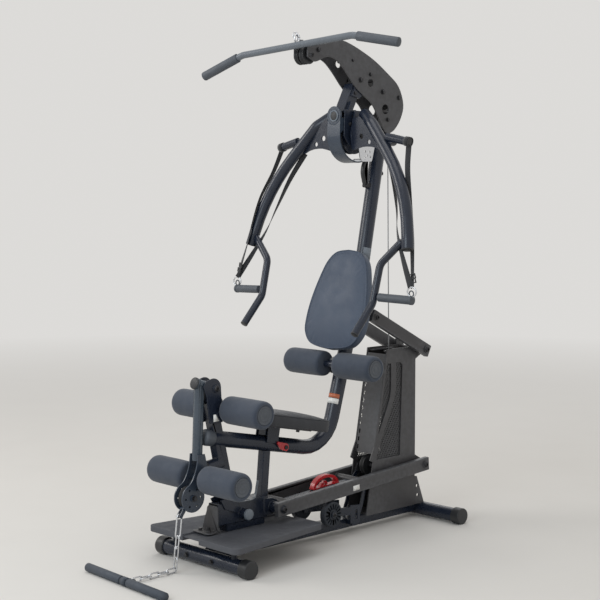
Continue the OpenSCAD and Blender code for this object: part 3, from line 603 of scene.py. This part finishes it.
PAD_RING = 144
PAD_PANEL_RINGS = 22
PAD_SEAM_ROW = 9
PAD_SWELL = 0.007
PAD_PRESSURE = 3.0
CLOTH_FRAMES = 20


def pad_mesh(outline, t, crown):
    """Rows of points up the side and in over the panel; also faces and the points to pin."""
    ring = resample(outline, PAD_RING)
    if sum(a.cross(b) for a, b in zip(ring, ring[1:] + ring[:1])) < 0:
        ring.reverse()
    normal = inward(ring)
    profile = [(0.030, 0.0), (0.016, 0.0), (0.007, 0.0008), (0.003, 0.004), (0.0022, 0.010),
               (0.0020, 0.35 * t), (0.0018, 0.5 * t), (0.0020, 0.65 * t),
               (0.0030, t - 0.0175), (0.0048, t - 0.0135), (0.0070, t - 0.0115)]
    rows = [([p + q * d for p, q in zip(ring, normal)], z) for d, z in profile]
    rim = [p + q * 0.007 for p, q in zip(ring, normal)]
    centre = sum(rim, Vector((0, 0))) / len(rim)
    for k in range(1, PAD_PANEL_RINGS):
        share = k / PAD_PANEL_RINGS
        z = t - 0.0115 + crown * (1 - (1 - share) ** 2.6) + 0.004 * min(1, share * 9)
        rows.append(([centre + (p - centre) * (1 - share) for p in rim], z))
    verts = [Vector((p.x, p.y, z)) for points, z in rows for p in points]
    n = PAD_RING
    faces = [(r * n + k, r * n + (k + 1) % n, (r + 1) * n + (k + 1) % n, (r + 1) * n + k)
             for r in range(len(rows) - 1) for k in range(n)]
    base_centre, top_centre = len(verts), len(verts) + 1
    verts += [Vector((centre.x, centre.y, 0)), Vector((centre.x, centre.y, t - 0.0075 + crown))]
    last = (len(rows) - 1) * n
    faces += [(base_centre, (k + 1) % n, k) for k in range(n)]
    faces += [(last + k, last + (k + 1) % n, top_centre) for k in range(n)]
    pinned = {*range(3 * n), *range(PAD_SEAM_ROW * n, (PAD_SEAM_ROW + 1) * n), base_centre}
    return verts, faces, pinned


def pucker(verts):
    """Makes the cover a little uneven in the rows beside its seam."""
    for i, v in enumerate(verts):
        rows_away = abs(i // PAD_RING - PAD_SEAM_ROW)
        if rows_away in (1, 2, 3):
            pull = 0.00045 * (4 - rows_away) * noise.noise(v * 60)
            v.z += pull
            v.x += pull * 0.7


def stitching(local, place):
    """One short thread to each pair of points, two rows above the seam."""
    stitches = Shape()
    first, n = (PAD_SEAM_ROW + 2) * PAD_RING, PAD_RING
    for k in range(n):
        a, b = local[first + k], local[first + (k + 1) % n]
        out = Vector((0, 0, 0.0004))
        stitches.tube([place @ (a.lerp(b, 0.12) + out), place @ (a.lerp(b, 0.5) + out * 1.8),
                       place @ (a.lerp(b, 0.74) + out)], 0.00045, 6)
    return stitches


def pad(name, outline, thickness, place, body, node, crown, cover):
    """Upholstered pad on a board: boxed side, welted seam, crowned panel. Local Z is out."""
    verts, faces, pinned = pad_mesh(outline, thickness, crown)
    local = inflate(verts, faces, pinned)
    pucker(local)
    o = add_piece(name, [place @ v for v in local], faces, "vinyl", body, material=cover)
    smooth = o.modifiers.new("smooth", "SUBSURF")
    smooth.levels = smooth.render_levels = 1
    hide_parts(node)
    seam = [place @ local[PAD_SEAM_ROW * PAD_RING + k] for k in range(PAD_RING)]
    Shape().tube(seam, 0.0021, 10, True).piece(name + "_welt", "vinyl", body, material=cover)
    stitching(local, place).piece(name + "_stitches", "vinyl", body, material=cover)


def inflate(verts, faces, pinned):
    """Cloth simulation: air pressure swells the cover between its pinned rows."""
    mesh = bpy.data.meshes.new("swelling")
    mesh.from_pydata([tuple(v) for v in verts], [], faces)
    face_outward(mesh)
    o = bpy.data.objects.new("swelling", mesh)
    bpy.context.scene.collection.objects.link(o)
    group = o.vertex_groups.new(name="pinned")
    group.add(sorted(pinned), 1.0, "REPLACE")
    cloth = o.modifiers.new("cloth", "CLOTH")
    settings = cloth.settings
    settings.vertex_group_mass = "pinned"
    settings.use_pressure = True
    settings.uniform_pressure_force = PAD_PRESSURE
    settings.tension_stiffness = settings.compression_stiffness = 12
    settings.shear_stiffness = 6
    settings.bending_stiffness = 0.8
    settings.effector_weights.gravity = 0
    settings.quality = 6
    cloth.collision_settings.use_self_collision = False
    cloth.point_cache.frame_start, cloth.point_cache.frame_end = 1, CLOTH_FRAMES
    scene = bpy.context.scene
    for step in range(1, CLOTH_FRAMES + 1):
        scene.frame_set(step)
    dg = bpy.context.evaluated_depsgraph_get()
    moved = [v.co.copy() for v in o.evaluated_get(dg).data.vertices]
    scene.frame_set(1)
    bpy.data.objects.remove(o)
    out = []
    for a, b in zip(verts, moved):
        shift = b - a
        if shift.length > PAD_SWELL:
            shift *= PAD_SWELL / shift.length
        out.append(a + shift)
    return out


SEAT_REAR_Y = 0.128
SEAT_PLACE = (Matrix.Translation((0, SEAT_REAR_Y, 0.470))
              @ Matrix.Rotation(math.radians(-11.3), 4, "X"))
SEAT_THICK = 0.060
BACK_TILT = math.radians(-17)
BACK_CENTRE = (0, 0.297, 1.009)
BACK_THICK = 0.052


def seat_outline():
    half, back, front, r = 0.150, 0.0, -0.384, 0.05
    out = []
    for cx, cy, start in ((half - r, back - r, 0), (r - half, back - r, 90),
                          (r - half, front + r, 180), (half - r, front + r, 270)):
        for k in range(9):
            a = math.radians(start + 90 * k / 8)
            out.append((cx + r * math.cos(a), cy + r * math.sin(a)))
    return out


def back_outline():
    w, h = 0.340, 0.438
    side = spline([(0, -h / 2), (w * 0.32, -h * 0.465), (w * 0.47, -h * 0.35), (w / 2, -h * 0.2),
                   (w * 0.478, 0), (w * 0.41, h * 0.22), (w * 0.33, h * 0.38),
                   (w * 0.2, h * 0.475), (0, h / 2)], 6)
    return side + [Vector((-p.x, p.y)) for p in side[-2:0:-1]]


def make_pads():
    place = (Matrix.Translation(BACK_CENTRE) @ Matrix.Rotation(BACK_TILT, 4, "X")
             @ Matrix.Rotation(math.radians(90), 4, "X")
             @ Matrix.Translation((0, 0, -BACK_THICK)))
    pad("backrest_cushion", back_outline(), BACK_THICK, place, "carriage", "backrest", 0.006,
        MATERIALS["vinyl"])
    # the seat takes the darker copy of the vinyl: painted shade
    pad("seat_cushion", seat_outline(), SEAT_THICK, SEAT_PLACE, "seat", "seat", 0.007,
        SHADED_SEAT_VINYL)


# ---- foam rollers ----
AXLE_R = 0.013
AXLE_PLAY = 0.0008
ROLLER_INNER_X = {"thigh_roller": 0.040, "mast_roller": 0.038, "lower_roller": 0.048}


def make_roller(kind, side):
    """Foam roller with a soft crown, rolled rims and a moulded plug in its outer end."""
    body = f"{kind}_{side}"
    axis = X * SIDES[side]
    hub = pivot[body + "_spin"]
    centre = Vector((0, hub.y, hub.z))
    at = centre + axis * ROLLER_INNER_X[kind]
    hole = AXLE_R + AXLE_PLAY
    profile = [(hole, 0.0010), (0.044, 0.0010), (0.0490, 0.0030), (0.0522, 0.0075),
               (0.0538, 0.0140), (0.0544, 0.0240)]
    profile += [(0.0544 + 0.0004 * math.sin(math.pi * k / 12), 0.024 + 0.164 * k / 12)
                for k in range(1, 12)]
    profile += [(0.0544, 0.188), (0.0538, 0.1985), (0.0522, 0.2050), (0.0490, 0.2095),
                (0.0445, 0.2112), (0.0400, 0.2112), (0.0370, 0.2085), (hole, 0.2080)]
    shape = Shape().lathe(at, axis, profile, 72)
    for v in shape.verts:               # the foam is a little uneven, but not at its bore
        out = Vector((0, v.y - centre.y, v.z - centre.z))
        if out.length > 0.03:
            v += out.normalized() * 0.00045 * noise.noise(v * 30)
    foam = shape.piece(body + "_foam", "foam", body)
    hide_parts(body)
    plug = Shape().lathe(at, axis, [
        (0, 0.2078), (0.0365, 0.2078), (0.0368, 0.2095), (0.0355, 0.2114), (0.0325, 0.2117),
        (0.0312, 0.2100), (0.0225, 0.2096), (0.0212, 0.2106), (0.0196, 0.2108),
        (0.0182, 0.2098), (0.0080, 0.2094), (0.0066, 0.2102), (0, 0.2104)], 64)
    plug.piece(body + "_plug", "foam", body, material=MATERIALS["grip_rubber"])


def make_rollers():
    for side in SIDES:
        for kind in ROLLER_INNER_X:
            make_roller(kind, side)


# ---- perforated side panels of the tower ----
def make_perforated_panels():
    """Sheet steel with a hexagonal grid of small holes behind the tower's openings."""
    pitch, hole, low, high = 0.0105, 0.0036, 0.0525, 0.0540
    cell = pitch / math.sqrt(3)
    row_step = cell * 1.5
    sill, height, margin = 0.291, 0.434, 0.010
    shape = Shape()
    for row in range(int(height / row_step)):
        z = sill + row_step * row
        front = 0.424 + (z - 0.062) * 0.130 / 0.714 + margin    # the tower's front edge leans
        rear = 0.652 + (z - 0.290) * 0.0278
        for column in range(int((rear - front) / pitch)):
            y = front + pitch * (column + 0.5 * (row % 2) + 0.5)
            rings = []
            for x, radius in ((low, cell), (low, hole), (high, hole), (high, cell)):
                rings.append([(x, y + radius * math.sin(math.pi * k / 3),
                               z + radius * math.cos(math.pi * k / 3)) for k in range(6)])
            verts = [v for ring in rings for v in ring]
            faces = [(a * 6 + k, a * 6 + (k + 1) % 6, a * 6 + 6 + (k + 1) % 6, a * 6 + 6 + k)
                     for a in range(3) for k in range(6)]
            shape.add(verts, faces)
    panels = shape.mirrored().piece("tower_panels", "smoked_mesh", "base", False)
    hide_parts("tower_mesh")


# ---- straps ----
STRAP_WIDE = 0.023
STRAP_THICK = 0.0022
STRAP_RING = (0.511, 0.190, 1.073)
STRAP_RING_R = 0.019
STRAP_HANGER = (0.370, 0.330, 1.642)
SLEEVE_AT = (0.366, 0.330, 1.6555)
STUB_AXIS = (0.110, 0.007, -0.023)


def strand(shape, path, turns, start=0.0):
    """Webbing along a path; it turns about its own length by the given number of turns."""
    points = spline(path, 14)
    lengths = [0.0]
    for a, b in zip(points, points[1:]):
        lengths.append(lengths[-1] + (b - a).length)
    verts, faces, uvs = [], [], []
    half, t = STRAP_WIDE / 2, STRAP_THICK / 2
    section = [(-half, 0), (-half + t, -t), (half - t, -t), (half, 0), (half - t, t),
               (-half + t, t)]
    for i, p in enumerate(points):
        along = (points[min(i + 1, len(points) - 1)] - points[max(i - 1, 0)]).normalized()
        flat = along.cross(Vector((0.25, 1, 0))).normalized()
        other = along.cross(flat)
        angle = start + 2 * math.pi * turns * lengths[i] / lengths[-1]
        u = math.cos(angle) * flat + math.sin(angle) * other
        w = along.cross(u)
        verts += [p + u * a + w * b for a, b in section]
        uvs += [(a, lengths[i]) for a, b in section]
    n = len(section)
    for i in range(len(points) - 1):
        faces += [(i * n + k, i * n + (k + 1) % n, (i + 1) * n + (k + 1) % n, (i + 1) * n + k)
                  for k in range(n)]
    last = (len(points) - 1) * n
    faces += [tuple(range(n - 1, -1, -1)), tuple(range(last, last + n))]
    shape.add(verts, faces, uvs)


# The right outer strand hangs behind its arm; the left one crosses in front of its arm
OUTER_STRAND = {
    1: [(0.452, 0.260, 1.212), (0.437, 0.273, 1.290), (0.396, 0.304, 1.437),
        (0.384, 0.307, 1.548)],
    -1: [(0.445, 0.197, 1.245), (0.436, 0.212, 1.320), (0.421, 0.250, 1.437),
         (0.390, 0.298, 1.548)],
}
INNER_STRAND = [(0.392, 0.243, 1.272), (0.352, 0.279, 1.385), (0.300, 0.314, 1.515),
                (0.238, 0.346, 1.625)]


def sleeve(shape, at, axis):
    """Loop of webbing round the stub of the arm's yoke, where the outer strand hangs."""
    half = STRAP_WIDE / 2
    shape.lathe(at - axis * half, axis, [
        (0.0175, 0), (0.0200, 0), (0.0203, half), (0.0200, STRAP_WIDE), (0.0175, STRAP_WIDE),
        (0.0175, 0)], 40)


def strap_ring(shape, top):
    """Wire ring at the end of the side grip, which both strands hang from."""
    shape.tube([top + Vector((STRAP_RING_R * math.cos(a) * 0.96, 0.005 * math.cos(a),
                              STRAP_RING_R * math.sin(a) - 0.009))
                for a in (2 * math.pi * k / 32 for k in range(32))], 0.0028, 12, True)


def buckles(shape, ring, toward, lift, facing):
    """Two open frames on the outer strand, just above its ring."""
    for share, size in ((0.12, 0.016), (0.20, 0.014)):
        m = frame_at(ring.lerp(toward, share * 1.6) + lift, facing, (toward - ring).normalized())
        for low, high in (((-size, -0.010), (size, -0.006)), ((-size, 0.006), (size, 0.010)),
                          ((-size, -0.010), (-size + 0.004, 0.010)),
                          ((size - 0.004, -0.010), (size, 0.010))):
            shape.box((*low, -0.003), (*high, 0.003), m)


def make_straps():
    """Two strands a side from the ring of each grip up to the arms, with their buckles."""
    webbing, rings, frames = Shape(), Shape(), Shape()
    for side in (1, -1):
        def at(x, y, z):
            return Vector((side * x, y, z))
        ring = at(*STRAP_RING)
        outer = [at(*p) for p in OUTER_STRAND[side]]
        inner = [at(*p) for p in INNER_STRAND]
        strand(webbing, [ring + at(0.002, 0.002, 0.008), *outer, at(*STRAP_HANGER)],
               0.12 if side > 0 else -0.25)
        strand(webbing, [ring + at(-0.004, -0.002, 0.008), *inner], -0.5, 0.9)
        sleeve(webbing, at(*SLEEVE_AT), at(*STUB_AXIS).normalized())
        strap_ring(rings, ring)
        buckles(frames, ring, outer[0], at(0.001, 0.001, 0.006), Vector((0.3 * side, -1, 0)))
    straps = webbing.piece("strap_webbing", "webbing", "press_arms")
    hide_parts("straps")
    rings.piece("strap_rings", "zinc", "press_arms")
    soften(frames.piece("strap_buckles", "black_plastic", "press_arms"), 0.001)


# ---- badge, plugs, bolts and stickers ----
def make_badge():
    """Blank round badge on the hub's shield: a raised ring with a disc in it."""
    at = Vector((0.003, 0.2782, 1.7735))
    ring = Shape().lathe(at, -Y, [
        (0.0190, -0.001), (0.0188, 0.0034), (0.0196, 0.0046), (0.0214, 0.0051),
        (0.0232, 0.0045), (0.0240, 0.0028), (0.0242, -0.001), (0.0190, -0.001)], 72)
    ring.piece("badge_ring", "zinc", "carriage", material=LIGHT_PLUG)
    disc = Shape().lathe(at, -Y, [
        (0, 0.0042), (0.010, 0.0040), (0.0172, 0.0034), (0.0190, 0.0026), (0.0190, -0.001),
        (0, -0.001)], 64)
    disc.piece("badge_disc", "black_plastic", "carriage")


def dome(shape, at, axis, r, rise, lip=0.0012):
    """Plug with a rounded face, a thin lip and a short skirt inside the tube."""
    shape.lathe(at, axis, [(r * 0.85, -0.006), (r * 0.87, -0.0004), (r + lip, -0.0002),
                           (r + lip, 0.0014), (r * 0.97, rise * 0.5 + 0.001),
                           (r * 0.84, rise * 0.8), (r * 0.6, rise * 0.95), (r * 0.3, rise),
                           (0, rise * 1.01)], 40)


def make_arm_plugs():
    """Plugs in the lower ends of the arms and of the handles, and in the yoke's stubs."""
    arms = Shape()
    dome(arms, (0.457, 0.226, 1.228), (0.051, -0.054, -0.242), 0.0240, 0.006)
    dome(arms, (0.325, 0.064, 0.894), (0, -0.104, -0.116), 0.0156, 0.005, 0.0003)
    dome(arms, (0.3722, 0.3305, 1.654), STUB_AXIS, 0.0170, 0.004, 0.0014)
    arms.mirrored().piece("arm_plugs", "black_plastic", "press_arms")


def make_beam_bumper():
    """Rubber cap over the front end of the seat beam."""
    bumper = Shape().lathe((0, -0.4235, 0.5031), (0, -0.981, 0.196), [
        (0.0313, -0.0240), (0.0322, -0.0236), (0.0326, -0.0215), (0.0326, 0.0040),
        (0.0318, 0.0100), (0.0290, 0.0152), (0.0235, 0.0188), (0.0140, 0.0208), (0, 0.0214)], 56)
    bumper.piece("beam_bumper", "black_plastic", "carriage",
                 material=MATERIALS["grip_rubber"])


def make_end_plugs():
    """Plugs of the upright's stub, of the leg lever and of the beam's cross tube."""
    post, lever = Shape(), Shape()
    dome(post, (0, -0.430, 0.386), (0, -0.078, -0.008), 0.0250, 0.007, 0.0002)
    post.piece("post_plug", "black_plastic", "carriage")
    dome(lever, (0, -0.482, 0.720), (0, -0.012, 0.004), 0.0228, 0.006, 0.0006)
    lever.piece("lever_plug", "black_plastic", "leg_lever")
    caps = Shape().lathe((0.0658, -0.262, 0.184), X, [
        (0.0218, -0.008), (0.0222, -0.0060), (0.0222, 0.0008), (0.0212, 0.0030), (0.0170, 0.0046),
        (0.0090, 0.0053), (0, 0.0055)], 48)
    caps.mirrored().piece("beam_caps", "black_plastic", "carriage", material=LIGHT_PLUG)


def make_lat_grip_ends():
    """Domed ends of the lat bar's grips, which droop from its straight middle."""
    half_straight, grip_len, droop = 0.268, 0.206, math.radians(16)
    bar = (Matrix.Translation((0, 0.057, 2.046)) @ Matrix.Rotation(math.radians(12), 4, "Z")
           @ Matrix.Rotation(math.radians(-4.8), 4, "Y"))
    ends = Shape()
    for sign in (-1, 1):
        end = Vector((sign * (half_straight + grip_len * math.cos(droop) + 0.004), 0,
                      -grip_len * math.sin(droop) - 0.0012))
        axis = bar.to_3x3() @ Vector((sign * math.cos(droop), 0, -math.sin(droop)))
        dome(ends, bar @ end, axis, 0.0187, 0.008, 0.0004)
    ends.piece("lat_grip_ends", "grip_rubber", "lat_bar")


def bolt_piece(shape, name, body):
    shape.piece(name, "black_plastic", body, False, material=BLACKENED)


def make_base_bolts():
    """Screws of the tower's pivots and the wheels' axle, and two bolts in each foot tube."""
    shape = Shape()
    for y, z in ((0.767, 0.246), (0.769, 0.763)):
        socket_screw(shape, (0.1052, y, z), X, 0.027, 0.007)
    socket_screw(shape, (0.1068, 0.177, 0.117), X, 0.019, 0.005)
    shape.mirrored()
    for y, axis in ((-0.4648, -Y), (0.8358, Y)):
        for x in (-0.075, 0.075):
            hex_bolt(shape, (x, y, 0.036), axis, 0.014, 0.008)
    bolt_piece(shape, "base_bolts", "base")


def make_carriage_bolts():
    """Heads on the lower pivot, the arch, the hub's bracket, the upright and the deck."""
    arch_x = 0.0410
    shape = Shape()
    socket_screw(shape, (0.1052, -0.106, 0.186), X, 0.027, 0.007)
    for y, z, across in ((0.145, 2.033, 0.014), (0.350, 2.006, 0.009), (0.398, 1.928, 0.015),
                         (0.459, 1.955, 0.012), (0.537, 1.886, 0.015), (0.640, 1.867, 0.014),
                         (0.569, 1.769, 0.013)):
        hex_bolt(shape, (arch_x, y, z), X, across, across * 0.55)
    socket_screw(shape, (0.0448, 0.106, 2.010), X, 0.018, 0.005)
    socket_screw(shape, (0.0358, -0.401, 0.695), X, 0.024, 0.006)
    hex_bolt(shape, (0.0335, 0.372, 1.872), X, 0.012, 0.006)
    for y, z in ((0.330, 1.740), (0.352, 1.772)):
        hex_bolt(shape, (0.0440, y, z), X, 0.010, 0.005)
    shape.mirrored()
    hex_bolt(shape, (0.006, -0.424, 0.1398), Z, 0.015, 0.008)
    hex_bolt(shape, (-0.040, -0.424, 0.1328), Z, 0.013, 0.007)
    bolt_piece(shape, "carriage_bolts", "carriage")


def make_moving_bolts():
    """Heads on the pivots of the upper links, the leg lever's foot and the press arms' hub."""
    upper, lever, arms = Shape(), Shape(), Shape()
    socket_screw(upper, (0.1058, 0.439, 0.926), X, 0.024, 0.006)
    hex_bolt(lever, (0.0308, -0.512, 0.282), X, 0.015, 0.008)
    socket_screw(arms, (0.0618, 0.388, 1.692), X, 0.036, 0.008)
    bolt_piece(upper.mirrored(), "upper_link_bolts", "upper_link")
    bolt_piece(lever.mirrored(), "lever_bolts", "leg_lever")
    bolt_piece(arms.mirrored(), "arm_bolts", "press_arms")


def make_seat_bolts():
    """Four bolts up into the seat's board, in the seat's own frame."""
    under = Shape()
    for y in (-0.235, 0.010):
        for x in (-0.06, 0.06):
            centre = SEAT_PLACE @ Vector((x, y - SEAT_REAR_Y, -0.005))
            hex_bolt(under, centre, SEAT_PLACE.to_3x3() @ -Z, 0.013, 0.008)
    bolt_piece(under, "seat_bolts", "seat")


MAST_LABEL_R = 0.0310
LABEL_BACK, LABEL_FACE = 0.0001, 0.0006


def tube_label(name, at, axis, facing, half_angle, half_length, material):
    """Thin label wrapped round the mast's tube, centred on the facing direction."""
    axis = Vector(axis).normalized()
    facing = Vector(facing)
    facing = (facing - axis * facing.dot(axis)).normalized()
    other = axis.cross(facing)
    verts, faces = [], []
    n = 18
    for k in range(n + 1):
        a = half_angle * (2 * k / n - 1)
        out = math.cos(a) * facing + math.sin(a) * other
        for lift in (LABEL_BACK, LABEL_FACE):
            for end in (-1, 1):
                verts.append(Vector(at) + out * (MAST_LABEL_R + lift)
                             + axis * half_length * end)
    for k in range(n):
        b = k * 4
        faces += [(b, b + 4, b + 5, b + 1), (b + 2, b + 3, b + 7, b + 6),
                  (b, b + 2, b + 6, b + 4), (b + 1, b + 5, b + 7, b + 3)]
    faces += [(0, 1, 3, 2), (4 * n, 4 * n + 2, 4 * n + 3, 4 * n + 1)]
    add_piece(name, verts, faces, "black_plastic", "carriage", True, material)


def make_stickers():
    """Plain labels: the photo's are printed, these are left blank."""
    link = Matrix.Translation((0.1001, 0.318, 0.209)) @ Matrix.Rotation(math.radians(3.9), 4, "X")
    flat = Shape().box((0, -0.019, -0.011), (0.0005, 0.019, 0.011), link)
    flat.piece("link_sticker", "black_plastic", "lower_link", material=STICKER)
    cheek = Shape().box((0.0301, -0.414, 0.566), (0.0306, -0.384, 0.594))
    cheek.piece("post_sticker", "black_plastic", "carriage", material=STICKER)
    mast_foot, front = (0, 0.215, 0.738), (0.25, -1, 0)
    tube_label("mast_label", (0, 0.2893, 0.5690), mast_foot, front, 1.0, 0.011, STICKER)
    tube_label("mast_band", (0, 0.2955, 0.5900), mast_foot, front, 1.0, 0.009, BAND)
    tube_label("mast_plate", (0, 0.4640, 1.1960), (0, 0.126, 0.625), (1, -0.15, 0), 0.75, 0.022,
               LIGHT_PLUG)


def make_snap_hook():
    """Carabiner with a latch sleeve, between the lat bar's eye and the end of the cable."""
    hook = Shape()
    m = (Matrix.Translation((0, 0.060, 2.079)) @ Matrix.Rotation(math.radians(55), 4, "Z")
         @ Matrix.Rotation(math.radians(90), 4, "X") @ Matrix.Rotation(math.radians(20), 4, "Z"))
    path = []
    for k in range(36):
        a = 2 * math.pi * k / 36
        wide = 0.0105 + 0.0025 * math.sin(a)
        path.append(m @ Vector((wide * math.cos(a), 0.021 * math.sin(a), 0)))
    hook.tube(path, 0.0026, 12, True)
    hook.lathe(m @ Vector((0.0115, -0.007, 0)), m.to_3x3() @ Y, [
        (0, 0), (0.0038, 0.0005), (0.0042, 0.002), (0.0042, 0.013), (0.0038, 0.0145),
        (0, 0.015)], 20)
    hook.piece("snap_hook", "zinc", "lat_bar")


def make_cable_end():
    """Swaged eye and rubber stop where the cable leaves the arch."""
    axis = (0, 0.57, -0.82)
    end = Shape().tube([(0, 0.066, 2.088), (0, 0.078, 2.074), (0, 0.090, 2.057)], 0.0046, 16)
    end.lathe((0, 0.0600, 2.0965), axis, [(0, 0), (0.006, 0.001), (0.0072, 0.006),
              (0.0060, 0.012), (0, 0.0125)], 20)
    end.piece("cable_swage", "zinc", "carriage")
    ball = Shape().lathe((0, 0.0835, 2.0665), axis, [
        (0.005, -0.002), (0.0105, 0), (0.0130, 0.005), (0.0135, 0.011), (0.0120, 0.017),
        (0.0070, 0.0205), (0.005, 0.021)], 32)
    ball.piece("cable_stop", "black_rubber", "carriage")


def make_post_strip():
    """Bent flat strip between the seat post and the beam."""
    points = spline([(0.030, -0.183, 0.305), (0.030, -0.189, 0.280), (0.030, -0.196, 0.250),
                     (0.030, -0.212, 0.2335), (0.030, -0.250, 0.2320), (0.030, -0.286, 0.2330)], 6)
    strip = Shape()
    verts, faces = [], []
    for i, p in enumerate(points):
        along = (points[min(i + 1, len(points) - 1)] - points[max(i - 1, 0)]).normalized()
        up = X.cross(along).normalized()
        verts += [p + X * a + up * b for a, b in ((-0.006, -0.0015), (0.006, -0.0015),
                                                (0.006, 0.0015), (-0.006, 0.0015))]
    for i in range(len(points) - 1):
        faces += [(i * 4 + k, i * 4 + (k + 1) % 4, i * 4 + 4 + (k + 1) % 4, i * 4 + 4 + k)
                  for k in range(4)]
    last = len(verts) - 4
    faces += [(3, 2, 1, 0), tuple(range(last, last + 4))]
    strip.add(verts, faces)
    soften(strip.piece("post_strip", "lever_paint", "carriage", material=BAR_PAINT), 0.0006)


make_camera()
make_stage()
dress_cad_nodes()
make_pads()
make_rollers()
make_perforated_panels()
make_straps()
make_badge()
make_arm_plugs()
make_beam_bumper()
make_end_plugs()
make_lat_grip_ends()
make_base_bolts()
make_carriage_bolts()
make_moving_bolts()
make_seat_bolts()
make_stickers()
make_snap_hook()
make_cable_end()
make_post_strip()
